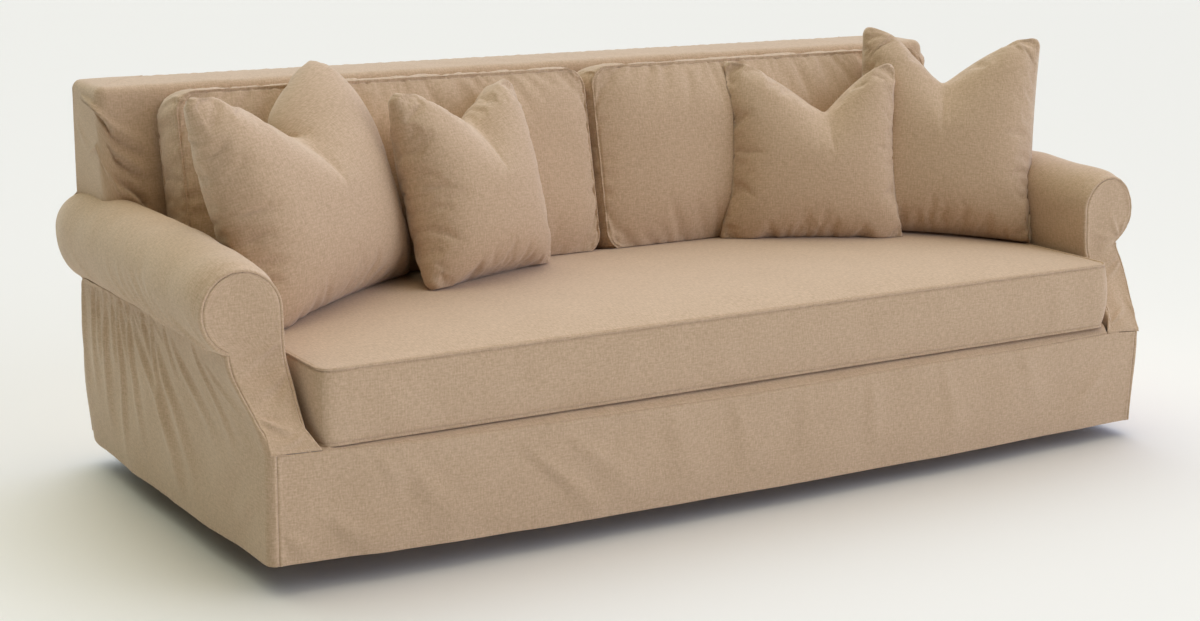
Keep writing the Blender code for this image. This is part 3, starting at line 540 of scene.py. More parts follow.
ARM_FRONT_MIDDLE = 1.10          # where the rail seam gives the arm front its foot
ARM_FRONT_INNER = 1.046          # its inner edge at the foot
ARM_FRONT_RISE = 0.05            # height over which that edge comes out to the roll's
ARM_FRONT_CROWN = radians(84)    # how far up the round face its last row lies


def arm_front_place(side):
    def place(across, up):
        roll = ROLL[0]
        radius = roll.radius - WRAP
        foot = read(RAIL, side * ARM_FRONT_MIDDLE, "seam")
        level = np.where(up < 0.5, mix(foot, roll.height, up / 0.5),
                         roll.height + radius * np.sin(ARM_FRONT_CROWN * part(up, 0.5, 1.0)))
        spread = np.sqrt(np.maximum(radius ** 2 - (level - roll.height) ** 2, 0.0))
        rising = part(level, foot, foot + ARM_FRONT_RISE)
        inner = np.where(level <= roll.height,
                         mix(ARM_FRONT_INNER, ROLL_ACROSS - radius, rising),
                         ROLL_ACROSS - spread)
        below = arm_front(side, np.minimum(level, NECK_HEIGHT), "outer")
        below = outer(side, below, level) - corner_wrap(side, level)
        far = outer(side, ROLL_ACROSS + spread, level)
        far = np.where(level <= roll.height, np.maximum(below, far), far)
        x = mix(inner, far, across)
        seam = read(RAIL, side * x, "seam") + 2 * GAP
        level = np.where(up < FOOT_ROW, seam, level)
        set_back = arm_front(side, level, "set_back")
        return spots(side * x, set_back - CLOTH, level)
    return place


LIP_ROWS = 0.3           # share of the deck panel that is the lip above the rail seam
LIP_BACK = 0.034         # how far back the lip runs
LIP_HALF = 1.0445


def skirt_place(across, up):
    half = BASE_HALF - CORNER_WRAP
    x = mix(-half, half, across)
    front = -read(RAIL, x, "swell") - CLOTH
    level = mix(read(RAIL, x, "hem"), read(RAIL, x, "seam") - GAP, up)
    slim = np.where(x > 0, (outer(1, BASE_HALF, level) - CORNER_WRAP) / half, 1.0)
    return spots(x * slim, front, level)


def deck_place(across, up):
    half = mix(LIP_HALF, DECK_HALF, part(up, 0.0, LIP_ROWS))
    x = mix(-half, half, across)
    front = -read(RAIL, x, "swell")
    seam = read(RAIL, x, "seam") + GAP
    rear = read(INSIDE_BACK, DECK - CLOTH, "depth") - GAP
    climb = np.sin(0.5 * pi * part(up, 0.0, LIP_ROWS))
    on_lip = up < LIP_ROWS
    y = np.where(on_lip, mix(front, LIP_BACK, up / LIP_ROWS),
                 mix(LIP_BACK, rear, part(up, LIP_ROWS, 1.0)))
    return spots(x, y, np.where(on_lip, mix(seam, DECK, climb), DECK))


def outside_back_half(height):
    """Half width of the outside back, which also closes the ends of the arms."""
    roll = ROLL[-1]
    side = read(SIDE_REAR, height, "rear_half") - SIDE_TUCK + PANEL_OVER
    above = height > roll.height
    tall = np.where(above, roll.radius, roll.drop)
    spread = 1.0 - ((height - roll.height) / tall) ** 2
    round_roll = ROLL_ACROSS + roll.radius * np.sqrt(np.maximum(spread, 0.0))
    side = np.where(above, BACK_HALF, side)
    return np.where(spread > 0.0, np.maximum(side, round_roll), side)


OUTSIDE_BACK_TOP = 0.903


def outside_back_place(across, up):
    level = mix(0.0, OUTSIDE_BACK_TOP, up)
    level = np.maximum(level, HEM_REAR + HEM_CURL * np.abs(2 * across - 1) ** HEM_CORNER_POWER)
    half = outside_back_half(level) - REAR_PANEL_IN
    high = np.maximum(level - TOP + TOP_RADIUS, 0.0)
    half = half - (TOP_RADIUS - np.sqrt(np.maximum(TOP_RADIUS ** 2 - high ** 2, 0.0)))
    x = mix(half, -half, across)
    roll_top = ROLL[-1].height + ROLL[-1].radius
    right = np.where(level < roll_top, outer(1, half, level), half)
    return spots(np.where(x > 0, x * right / half, x), REAR + CLOTH, level)


# Cloth relief.

SEAM_DIP, SEAM_HALF = 0.0012, 0.0016         # the groove of a seam
SEAM_LIP, SEAM_LIP_AT, SEAM_LIP_HALF = 0.0009, 0.0050, 0.0030
SEAM_HOLD = 0.008        # folds and waves die out this close to a seam
SEAM_LINES = (0.0, 0.0012, 0.0024, 0.0040, 0.0065, 0.0095, 0.0130, 0.0170, 0.0220)
RIPPLES = ((0.62, 0.25), (1.0, 0.40), (1.45, 0.30), (2.3, 0.25))    # lengths and heights
SWELLS, SWELL_LENGTHS, SWELLS_SUM = 7, (0.6, 1.7), 2.6
TROUGH, TROUGH_AT = 0.28, 1.7  # the hollow beside a fold's crest, in heights and widths
FOLD_NARROW, FOLD_SPREAD = 0.6, 0.9     # a fold's width at its start, and what it gains
FOLD_FADE = 0.8                         # how its height falls off
FOLD_START, FOLD_START_RUN = 0.5, 0.2   # share of its height at its start, up to full height
FOLD_PAST = 1.5                         # its ends' reach, in widths
FAN_SHIFT = 0.35
FAN_WIDTHS, FAN_HEIGHTS, FAN_BOWS = (0.7, 1.4), (0.4, 1.2), (-0.006, 0.006)
PUCKER_ENDS = 0.02                      # share of an edge over which its puckers start
PUCKER_HOLD = 0.004                     # distance from the seam over which they rise


def ripple(run, pitch, seed):
    """An uneven row of ridges: between -1 and 1, about a pitch apart."""
    draw = np.random.default_rng(seed)
    total = 0.0
    for stretch, share in RIPPLES:
        total = total + share * np.sin(2 * pi * run / (pitch * stretch) + draw.uniform(0, 2 * pi))
    return total


def unevenness(across, up, waves):
    draw = np.random.default_rng(waves.seed)
    total = 0.0
    for _ in range(SWELLS):
        turn, stretch = draw.uniform(0, pi), draw.uniform(*SWELL_LENGTHS)
        run = across * cos(turn) + up * sin(turn)
        total = total + np.sin(2 * pi * run / (waves.size * stretch) + draw.uniform(0, 2 * pi))
    return waves.height * total / SWELLS_SUM


def fold_rise(across, up, size, fold):
    """A fold's crest with a shallow trough beside it."""
    start = np.multiply(fold.start, size)
    run = np.multiply(fold.end, size) - start
    length = hypot(*run)
    along = ((across - start[0]) * run[0] + (up - start[1]) * run[1]) / length ** 2
    side = ((up - start[1]) * run[0] - (across - start[0]) * run[1]) / length
    t = np.clip(along, 0.0, 1.0)
    side = side - fold.bow * 4.0 * t * (1.0 - t)
    wide = fold.width * (FOLD_NARROW + FOLD_SPREAD * t)
    past = np.maximum(np.maximum(-along, along - 1.0), 0.0) * length / (FOLD_PAST * fold.width)
    height = fold.height * (1.0 - t ** 2) ** FOLD_FADE
    height = height * mix(FOLD_START, 1.0, part(t, 0.0, FOLD_START_RUN))
    trough = TROUGH * np.exp(-(((side + TROUGH_AT * wide) / wide) ** 2))
    crest = np.exp(-((side / wide) ** 2)) - trough
    return height * crest * np.exp(-(past ** 2))


def fanned(fan):
    """A fan's folds, each a little off its neighbours' line."""
    draw = np.random.default_rng(fan.seed)
    for step in range(fan.count):
        share = (step + draw.uniform(-FAN_SHIFT, FAN_SHIFT)) / (fan.count - 1)
        start, end = (mix(np.array(fan.first[k]), np.array(fan.last[k]), share)
                      for k in (0, 1))
        yield Fold(start, end, fan.width * draw.uniform(*FAN_WIDTHS),
                   fan.height * draw.uniform(*FAN_HEIGHTS), draw.uniform(*FAN_BOWS))


def relief(across, up, size, work):
    """How far a panel's cloth stands out at each place, in metres."""
    width, length = size
    edges = {"left": (across, up, length), "right": (width - across, up, length),
             "foot": (up, across, width), "head": (length - up, across, width)}
    rise = sum(unevenness(across, up, waves) for waves in work.waves)
    for fold in (*work.folds, *(fold for fan in work.fans for fold in fanned(fan))):
        rise = rise + fold_rise(across, up, size, fold)
    for edge in work.sewn:
        away = edges[edge][0]
        rise = rise * (1.0 - np.exp(-((away / SEAM_HOLD) ** 2)))
    for row in work.puckers:
        away, run, whole = edges[row.edge]
        share = run / whole
        inside = part(share, row.begin - PUCKER_ENDS, row.begin + PUCKER_ENDS) * part(
            -share, -row.end - PUCKER_ENDS, -row.end + PUCKER_ENDS)
        rise = rise + (row.height * inside * ripple(run, row.pitch, row.seed)
                       * np.exp(-((away / row.reach) ** 2)) * part(away, 0.0, PUCKER_HOLD))
    for edge in work.sewn:
        rise = rise + seam_rise(edges[edge][0])
    return rise


def seam_rise(away):
    lip = np.exp(-(((away - SEAM_LIP_AT) / SEAM_LIP_HALF) ** 2))
    return SEAM_LIP * lip - SEAM_DIP * np.exp(-((away / SEAM_HALF) ** 2))


# Making meshes.

def arc(points):
    steps = np.linalg.norm(np.diff(points, axis=0), axis=1)
    return np.concatenate(([0.0], np.cumsum(steps)))


def seam_spacing(length, cell):
    """Distances along a panel from edge to edge: close at both seams, then a cell apart."""
    near = np.array(SEAM_LINES)
    inner = length - 2 * near[-1]
    count = max(int(round(inner / cell)), 2)
    middle = np.linspace(near[-1], length - near[-1], count + 1)
    return np.concatenate((near[:-1], middle, length - near[-2::-1]))


def grid_lines(line, cell):
    """Places on a line of a panel, from 0 to 1, and how far along the cloth they lie."""
    fine = np.linspace(0.0, 1.0, 1201)
    run = arc(line(fine))
    at = seam_spacing(run[-1], cell)
    return np.interp(at, run, fine), at


def new_grid(mesh, columns, rows):
    """A grid's corners row by row, so that each can be given its place from an array."""
    made = bmesh.ops.create_grid(mesh, x_segments=columns - 1, y_segments=rows - 1, size=0.5)
    order = np.empty((rows, columns), dtype=object)
    for vert in made["verts"]:
        row = round((vert.co.y + 0.5) * (rows - 1))
        column = round((vert.co.x + 0.5) * (columns - 1))
        order[row, column] = vert
    return order


def new_item(name, mesh):
    """Turn a finished bmesh into an object in the scene."""
    data = bpy.data.meshes.new(name)
    mesh.to_mesh(data)
    mesh.free()
    item = bpy.data.objects.new(name, data)
    bpy.context.scene.collection.objects.link(item)
    return item


def finish_piece(node, mesh, flat_of):
    """Turn a finished bmesh into its node's object, with its cloth laid out flat."""
    item = new_item(node + "_linen", mesh)
    data = item.data
    data.shade_smooth()
    data.materials.append(linen())
    corners = np.empty(len(data.loops), dtype=np.int32)
    data.loops.foreach_get("vertex_index", corners)
    layer = data.uv_layers.new(name="Cloth")
    layer.uv.foreach_set("vector", flat_of(data, corners).astype(np.float32).ravel())
    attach(item, BODY)
    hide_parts(node)
    return item


def surface_normals(points):
    across = np.gradient(points, axis=1)
    up = np.gradient(points, axis=0)
    normal = np.cross(across, up)
    return normal / np.maximum(np.linalg.norm(normal, axis=-1, keepdims=True), 1e-12)


def cut_area(mesh, size):
    """Area of the cloth a panel is cut from, before its folds are worked in."""
    return min(sum(face.calc_area() for face in mesh.faces), size[0] * size[1])


# A piece's mesh cells, against the cell that the panel in the sidebar gives.
CELLS = {"deck": 1.6, "front_skirt": 0.9, "inside_back": 0.9, "outside_back": 1.6,
         "arm_left": 0.7, "outside_arm_left": 0.7, "arm_front_left": 0.4,
         "arm_right": 0.7, "outside_arm_right": 0.7, "arm_front_right": 0.4,
         "seat_cushion": 1.7, "back_cushion_left": 1.1, "back_cushion_right": 1.1}


def cell_of(node):
    return CELLS[node] * bpy.context.scene.slipcover_linen.cell


def add_panel(node, place, work, mirrored=False, dropped=None):
    """A cloth panel: a grid laid out by place(across, up), with its folds worked in."""
    cell = cell_of(node)
    spots_across, run_across = grid_lines(lambda t: place(t, np.full_like(t, 0.5)), cell)
    spots_up, run_up = grid_lines(lambda t: place(np.full_like(t, 0.5), t), cell)
    across, up = np.meshgrid(spots_across, spots_up)
    flat_across, flat_up = np.meshgrid(run_across, run_up)
    size = (run_across[-1], run_up[-1])
    smooth = place(across, up)
    normal = surface_normals(smooth) * (-1.0 if mirrored else 1.0)
    worked = normal * relief(flat_across, flat_up, size, work)[..., None] - CARRIED_AT
    mesh = bmesh.new()
    order = new_grid(mesh, len(spots_across), len(spots_up)).ravel()
    rows = dict(zip(order, range(len(order))))
    for vert, spot in zip(order, smooth.reshape(-1, 3)):
        vert.co = spot
    if mirrored:
        bmesh.ops.reverse_faces(mesh, faces=mesh.faces)
    if dropped is not None:
        hidden = dropped(smooth.reshape(-1, 3))
        verts = [vert for vert, gone in zip(order, hidden) if gone]
        bmesh.ops.delete(mesh, geom=verts, context="VERTS")
    mesh.verts.index_update()
    area = cut_area(mesh, size)
    kept = np.array([rows[vert] for vert in mesh.verts])
    set_places(mesh, (smooth + worked).reshape(-1, 3)[kept])
    laid = np.stack((flat_across, flat_up), axis=-1).reshape(-1, 2)[kept]
    item = finish_piece(node, mesh, lambda data, corners: laid[corners])
    solid = item.modifiers.new("cloth", "SOLIDIFY")
    solid.thickness = CLOTH
    solid.offset = -1.0
    return item


# Filled pieces: a box of -1 to 1 with its lines close together at the seams, then rounded,
# crowned, and given its seams and wrinkles.

def box_lines(half, cell):
    """Places from -1 to 1 over a side of 2 * half metres, close together at both ends."""
    return seam_spacing(2.0 * half, cell) / half - 1.0


def box_mesh(halves, cell):
    """Two grids with their rims bridged; corners keep their places in the box of -1 to 1."""
    lines = [box_lines(half, cell) for half in halves]
    mesh = bmesh.new()
    rims = []
    for level in (1.0, -1.0):
        order = new_grid(mesh, len(lines[0]), len(lines[1]))
        for vert in order.ravel():
            vert.co = (vert.co.x * 2.0, vert.co.y * 2.0, level)
        faces = {face for vert in order.ravel() for face in vert.link_faces}
        if level < 0.0:
            bmesh.ops.reverse_faces(mesh, faces=list(faces))
        rims += [edge for face in faces for edge in face.edges if edge.is_boundary]
    bridged = bmesh.ops.bridge_loops(mesh, edges=list(dict.fromkeys(rims)))
    uprights = [edge for edge in {e for face in bridged["faces"] for e in face.edges}
                if abs(edge.verts[0].co.z - edge.verts[1].co.z) > 1.0]
    bmesh.ops.subdivide_edges(mesh, edges=uprights, cuts=len(lines[2]) - 2, use_grid_fill=True)
    for vert in mesh.verts:
        for axis in range(3):
            even = (vert.co[axis] + 1.0) * 0.5 * (len(lines[axis]) - 1)
            vert.co[axis] = np.interp(even, range(len(lines[axis])), lines[axis])
    face_out(mesh)
    mesh.verts.index_update()
    return mesh


def round_corner(x, y, half_x, half_y, radius):
    """Pull the points of a rectangle's corner squares onto the quarter circles inside them."""
    core_x = np.clip(x, radius - half_x, half_x - radius)
    core_y = np.clip(y, radius - half_y, half_y - radius)
    away_x, away_y = x - core_x, y - core_y
    length = np.hypot(away_x, away_y)
    pull = np.maximum(np.abs(away_x), np.abs(away_y)) / np.maximum(length, 1e-12)
    pull = np.where(length < 1e-9, 1.0, pull)
    return core_x + away_x * pull, core_y + away_y * pull


CROWN_POWER, BULGE_POWER = 4, 9    # how late the crown and the bulge fall off to the edges


def box_places(abc, halves, filling):
    """A boxed cushion on a flat underside: crowned top, bulging sides, round corners."""
    a, b, c = abc.T
    half_x, half_y, half_z = halves
    x, y = round_corner(a * half_x, b * half_y, half_x, half_y, filling.corner)
    out = filling.bulge * (1.0 - c * c)
    rise = filling.crown * (1.0 - a ** CROWN_POWER) * (1.0 - b ** CROWN_POWER) * np.maximum(c, 0.0)
    return spots(x + out * a ** BULGE_POWER, y + out * b ** BULGE_POWER, c * half_z + rise)


SIDES = ("front", "right", "rear", "left")


def side_runs(abc, halves):
    """For each side of a box: how far in from it a place lies, and how far along it."""
    a, b, _ = abc.T
    half_x, half_y, _ = halves
    return {"front": ((1.0 + b) * half_y, a * half_x),
            "right": ((1.0 - a) * half_x, half_x + (b + 1.0) * half_y),
            "rear": ((1.0 - b) * half_y, half_x + 2.0 * half_y + (1.0 - a) * half_x),
            "left": ((1.0 + a) * half_x, 3.0 * half_x + 2.0 * half_y + (1.0 - b) * half_y)}


Boxing = namedtuple("Boxing", "pitch reach height wrinkle_pitch wrinkle seed")
RIDGE, RIDGE_HALF = 0.0026, 0.0016    # the seam's ridge, and the groove inside it
RIDGE_GROOVE, RIDGE_GROOVE_AT, RIDGE_GROOVE_HALF = 0.0028, 0.0040, 0.0013
BOXING_EDGE = 0.012       # distance in from the boxing over which its wrinkles die out
WRINKLE_SLANT = 0.35
FOOT_SEED, SIDE_SEED = 7, 20


def box_relief(abc, halves, boxing):
    """Seams round both faces, the puckers they draw, and wrinkles across the boxing."""
    c = abc[:, 2]
    rise = np.zeros(len(abc))
    from_face = (1.0 - np.abs(c)) * halves[2]
    for order, side in enumerate(SIDES):
        inward, run = side_runs(abc, halves)[side]
        away = inward + from_face
        near = np.exp(-((away / boxing.reach) ** 2)) * part(away, 0.0, PUCKER_HOLD)
        for face, over in ((1.0, 0), (-1.0, FOOT_SEED)):
            on = part(c * face, -0.2, 0.2)
            rise += on * boxing.height * near * ripple(run, boxing.pitch, boxing.seed + over)
        on_side = part(-inward, -BOXING_EDGE, 0.0)
        slanted = run + WRINKLE_SLANT * c * halves[2]
        rise += (on_side * (1.0 - c * c) * boxing.wrinkle
                 * ripple(slanted, boxing.wrinkle_pitch, boxing.seed + SIDE_SEED + order))
    inward = np.min([side_runs(abc, halves)[side][0] for side in SIDES], axis=0)
    away = inward + from_face
    groove = np.exp(-(((away - RIDGE_GROOVE_AT) / RIDGE_GROOVE_HALF) ** 2))
    return rise + RIDGE * np.exp(-((away / RIDGE_HALF) ** 2)) - RIDGE_GROOVE * groove


def box_flat(halves, abc):
    """How a boxed cushion's cloth lies flat: each face on its own, the boxing as one strip."""
    half_x, half_y, half_z = halves
    around = 4.0 * (half_x + half_y)
    a, b, c = abc.T
    runs = side_runs(abc, halves)
    away = np.stack([runs[side][0] for side in SIDES])
    nearest = np.argmin(away, axis=0)
    run = np.stack([runs[side][1] for side in SIDES])[nearest, np.arange(len(abc))] % around

    def lay(data, corners):
        ends = np.empty(len(data.polygons), dtype=np.int32)
        data.polygons.foreach_get("loop_start", ends)
        level = np.minimum.reduceat(c[corners], ends), np.maximum.reduceat(c[corners], ends)
        counts = np.diff(np.append(ends, len(corners)))
        top = np.repeat(level[0] > 0.9999, counts)
        foot = np.repeat(level[1] < -0.9999, counts)
        long = np.repeat(np.maximum.reduceat(run[corners], ends), counts)
        strip = np.where(long - run[corners] > 0.5 * around, run[corners] + around, run[corners])
        across = np.where(top | foot, a[corners] * half_x, strip)
        up = np.where(top, b[corners] * half_y,
                      np.where(foot, b[corners] * half_y + 3.0 * half_y,
                               c[corners] * half_z + 6.0 * half_y))
        return np.stack((across, up), axis=-1)
    return lay


def face_out(mesh):
    """Turn a closed mesh's faces outwards."""
    bmesh.ops.recalc_face_normals(mesh, faces=mesh.faces)
    if mesh.calc_volume(signed=True) < 0.0:
        bmesh.ops.reverse_faces(mesh, faces=mesh.faces)


def as_array(verts):
    return np.array([vert.co for vert in verts])


def set_places(mesh, points):
    for vert, spot in zip(mesh.verts, points):
        vert.co = spot


def normals_of(mesh):
    mesh.normal_update()
    return np.array([vert.normal for vert in mesh.verts])


def surface_of(*items):
    """The outer surfaces of pieces, to keep others clear of them."""
    mesh = bmesh.new()
    for item in items:
        mesh.from_mesh(item.data)
    tree = BVHTree.FromBMesh(mesh)
    mesh.free()
    return tree


CLEAR = 0.0012           # left between two filled pieces that press on each other
DEEPEST = 0.09           # how far a place is looked for a neighbour's surface


def kept_clear(points, trees):
    """Move what has sunk into a neighbour out to its surface, where the two press flat."""
    kept = points.copy()
    for tree in trees:
        for index, spot in enumerate(kept):
            place, normal, *_ = tree.find_nearest(Vector(spot), DEEPEST)
            if place is not None and (Vector(spot) - place).dot(normal) < CLEAR:
                kept[index] = place + normal * CLEAR
    return kept


Stuffing = namedtuple("Stuffing", "pressure shrink quality frames most")
PILLOW_STUFFING = Stuffing(3.6, -0.05, 5, 20, 0.024)
BACK_STUFFING = Stuffing(2.0, -0.03, 5, 16, 0.014)


def stuffed(mesh, seam, stuffing):
    """Fill a closed cloth shell by simulation, its seams held, and cap how far it moves."""
    before = as_array(mesh.verts)
    data = bpy.data.meshes.new("filling")
    mesh.to_mesh(data)
    item = bpy.data.objects.new("filling", data)
    bpy.context.scene.collection.objects.link(item)
    held = item.vertex_groups.new(name="seam")
    held.add([int(index) for index in seam], 1.0, "REPLACE")
    cloth = item.modifiers.new("cloth", "CLOTH")
    settings = cloth.settings
    settings.quality = stuffing.quality
    settings.mass = 0.2
    settings.air_damping = 3.0
    settings.tension_stiffness = 12.0
    settings.compression_stiffness = 6.0
    settings.shear_stiffness = 4.0
    settings.bending_stiffness = 0.06
    settings.use_pressure = True
    settings.uniform_pressure_force = stuffing.pressure
    settings.vertex_group_mass = "seam"
    settings.pin_stiffness = 4.0
    settings.shrink_min = stuffing.shrink
    settings.effector_weights.gravity = 0.0
    cloth.collision_settings.use_collision = False
    cloth.point_cache.frame_end = stuffing.frames
    scene = bpy.context.scene
    for number in range(1, stuffing.frames + 1):
        scene.frame_set(number)
    after = bpy.data.meshes.new_from_object(
        item.evaluated_get(bpy.context.evaluated_depsgraph_get()))
    filled = np.array([vert.co for vert in after.vertices])
    bpy.data.objects.remove(item, do_unlink=True)
    bpy.data.meshes.remove(data)
    bpy.data.meshes.remove(after)
    scene.frame_set(1)
    move = filled - before
    far = np.linalg.norm(move, axis=1, keepdims=True)
    return before + move * (stuffing.most * np.tanh(far / stuffing.most)
                            / np.maximum(far, 1e-9))


def set_in(mesh, points, placed, clear_of):
    """Put a filled piece's points in their place, clear of its neighbours."""
    turn = np.array(placed)
    points = points @ turn[:3, :3].T + turn[:3, 3] - CARRIED_AT
    set_places(mesh, kept_clear(points, clear_of))


def add_boxed(node, halves, filling, boxing, placed, stuffing=None, clear_of=()):
    """A boxed cushion, stuffed, seamed and set in its place."""
    mesh = box_mesh(halves, cell_of(node))
    abc = as_array(mesh.verts)
    set_places(mesh, box_places(abc, halves, filling))
    if stuffing:
        edge = (np.abs(abc[:, 2]) > 0.9999) & (np.max(np.abs(abc[:, :2]), axis=1) > 0.9999)
        set_places(mesh, stuffed(mesh, np.nonzero(edge)[0], stuffing))
    points = as_array(mesh.verts) + normals_of(mesh) * box_relief(abc, halves, boxing)[:, None]
    set_in(mesh, points, placed, clear_of)
    return finish_piece(node, mesh, box_flat(halves, abc))


def pillow_point(pillow, a, b, front, thick):
    """A point of the pillow's front or back face; x across, z up, y to the back."""
    x, z = round_corner(0.5 * pillow.width * a, 0.5 * pillow.height * b,
                        0.5 * pillow.width, 0.5 * pillow.height, EAR_RADIUS)
    foot, head = np.maximum(-b, 0.0), np.maximum(b, 0.0)
    x = x * (1.0 - DRAWN * (1.0 - b * b) + pillow.spread * foot ** 3)
    z = z * (1.0 - DRAWN * (1.0 - a * a))
    away = np.abs(a - pillow.dent_at) / (1.0 - np.sign(a - pillow.dent_at) * pillow.dent_at)
    notch = np.maximum(1.0 - np.sqrt(away ** 2 + DENT_ROUND ** 2), 0.0) ** DENT_CURVE
    z = z - pillow.dent * notch * head ** 2
    folded = head ** 3 * np.sin(0.5 * pi * part(a, pillow.dent_at, pillow.dent_at + EAR_RUN))
    x = x - pillow.fold * folded
    full = np.maximum((1.0 - a * a) * (1.0 - b * b), 0.0) ** FULLNESS
    valley = 1.0 - DENT_VALLEY * notch * head
    return spots(x, pillow.fold * EAR_BACK * folded - front * 0.5 * thick * full * valley, z)


def laid_out(points):
    """Lengths along the cloth from the middle of a grid of places, across and up."""
    runs = []
    for axis in (1, 0):
        steps = np.linalg.norm(np.diff(points, axis=axis), axis=-1)
        run = np.insert(np.cumsum(steps, axis=axis), 0, 0.0, axis=axis)
        runs.append(run - run.take([PILLOW_CELLS // 2], axis=axis))
    return np.stack(runs, axis=-1).reshape(-1, 2)


SLACK = 0.90             # a pillow's shell before it is stuffed, as a share of its thickness
PILLOW_CELLS = 88
CLOSE_SHARE, EVEN_SHARE = 0.3, 0.7    # its cells: partly closer to the edges, partly even
PILLOW_RIDGE = 0.0020
MERGED, ON_SEAM = 0.00005, 1e-6


def add_pillow(pillow, clear_of):
    """A knife-edged pillow with rounded ears and a dent struck into its top edge."""
    mesh = bmesh.new()
    flat = {}
    thick = pillow.thick * SLACK
    for front in (1, -1):
        order = new_grid(mesh, PILLOW_CELLS + 1, PILLOW_CELLS + 1).ravel()
        even = as_array(order)[:, :2] * 2.0
        a, b = (np.sin(0.5 * pi * even) * CLOSE_SHARE + even * EVEN_SHARE).T
        shell = pillow_point(pillow, a, b, front, thick)
        across_up = laid_out(shell.reshape(PILLOW_CELLS + 1, PILLOW_CELLS + 1, 3))
        for vert, spot, at in zip(order, shell, across_up):
            vert.co = spot
            flat[vert] = at
        if front < 0:
            bmesh.ops.reverse_faces(mesh, faces=list({f for v in order for f in v.link_faces}))
    bmesh.ops.remove_doubles(mesh, verts=mesh.verts, dist=MERGED)
    face_out(mesh)
    mesh.verts.index_update()
    laid = np.array([flat[vert] for vert in mesh.verts])
    edge = np.abs(as_array(mesh.verts)[:, 1]) < ON_SEAM
    set_places(mesh, stuffed(mesh, np.nonzero(edge)[0], PILLOW_STUFFING))
    points = as_array(mesh.verts) + normals_of(mesh) * (PILLOW_RIDGE * edge)[:, None]
    turn = Matrix.Rotation(radians(pillow.turn), 4, "Z")
    lean = Matrix.Rotation(-radians(pillow.lean), 4, "X")
    tilt = Matrix.Rotation(radians(pillow.tilt), 4, "Y")
    set_in(mesh, points, Matrix.Translation(pillow.middle) @ turn @ lean @ tilt, clear_of)
    return finish_piece(pillow.name, mesh, lambda data, corners: laid[corners])


# Materials.

class Value:
    """A socket in a sum: the operators add the Math nodes they stand for."""

    def __init__(self, tree, socket):
        self.tree, self.socket = tree, socket

    def maths(self, operation, *values):
        return add_node(self.tree, "ShaderNodeMath", {"operation": operation},
                        dict(enumerate(values)))

    def __add__(self, other):
        return self.maths("ADD", self, other)

    def __mul__(self, other):
        return self.maths("MULTIPLY", self, other)

    def __pow__(self, other):
        return self.maths("POWER", self, other)

    def above(self, least):
        return self.maths("MAXIMUM", self, least)

    __radd__ = __add__
    __rmul__ = __mul__


def add_node(tree, kind, settings=None, values=None, output=0):
    """Any node: its settings first, then the values or links of its sockets."""
    node = tree.nodes.new(kind)
    for name, worth in (settings or {}).items():
        setattr(node, name, worth)
    for name, worth in (values or {}).items():
        if isinstance(worth, Value):
            tree.links.new(worth.socket, node.inputs[name])
        else:
            node.inputs[name].default_value = worth
    return Value(tree, node.outputs[output])


# Repeats to the metre across and up the cloth, and the noise's detail.
WARP, WEFT = (300.0, 70.0, 2.0), (65.0, 290.0, 2.0)
GRAIN, MOTTLE = (250.0, 250.0, 3.0), (9.0, 8.0, 3.0)
TONES = (0.38, 0.62)     # the heather's sum at all dark and at all light threads


def streaks(tree, cloth, across, up, detail):
    """Noise drawn out along the cloth: across and up are its repeats to the metre."""
    laid = add_node(tree, "ShaderNodeMapping", values={0: cloth, "Scale": (across, up, 1.0)})
    return add_node(tree, "ShaderNodeTexNoise", {"noise_dimensions": "2D"},
                    {"Vector": laid, "Scale": 1.0, "Detail": detail, "Roughness": 0.55})


def linen_material(name, look):
    """Heathered plain-woven linen: slubs both ways, a soft mottle, and the weave in relief."""
    material = bpy.data.materials.new(name)
    material.use_nodes = True
    tree = material.node_tree
    shader = tree.nodes["Principled BSDF"]
    cloth = add_node(tree, "ShaderNodeUVMap", {"uv_map": "Cloth"})
    warp, weft, grain, mottle = (streaks(tree, cloth, *run) for run in (WARP, WEFT, GRAIN, MOTTLE))
    heather = (warp + weft) * 0.32 + grain * 0.26 + mottle * 0.10
    tone = add_node(tree, "ShaderNodeMapRange", values={
        "Value": heather, "From Min": TONES[0], "From Max": TONES[1], "To Min": 0.0, "To Max": 1.0})
    colour = add_node(tree, "ShaderNodeMix", {"data_type": "RGBA"},
                      {0: tone, 6: (*look.dark, 1.0), 7: (*look.light, 1.0)}, output=2)
    tree.links.new(colour.socket, shader.inputs["Base Color"])
    shader.inputs["Roughness"].default_value = look.roughness
    shader.inputs["Specular IOR Level"].default_value = 0.25
    shader.inputs["Sheen Weight"].default_value = look.sheen
    shader.inputs["Sheen Roughness"].default_value = 0.6
    weave = (warp + weft) * 0.35 + grain * 0.3
    bump = add_node(tree, "ShaderNodeBump", values={
        "Strength": look.weave, "Distance": 0.0006, "Height": weave})
    tree.links.new(bump.socket, shader.inputs["Normal"])
    return material


def plain_material(name, colour, roughness):
    material = bpy.data.materials.new(name)
    material.use_nodes = True
    shader = material.node_tree.nodes["Principled BSDF"]
    shader.inputs["Base Color"].default_value = (*colour, 1.0)
    shader.inputs["Roughness"].default_value = roughness
    return material


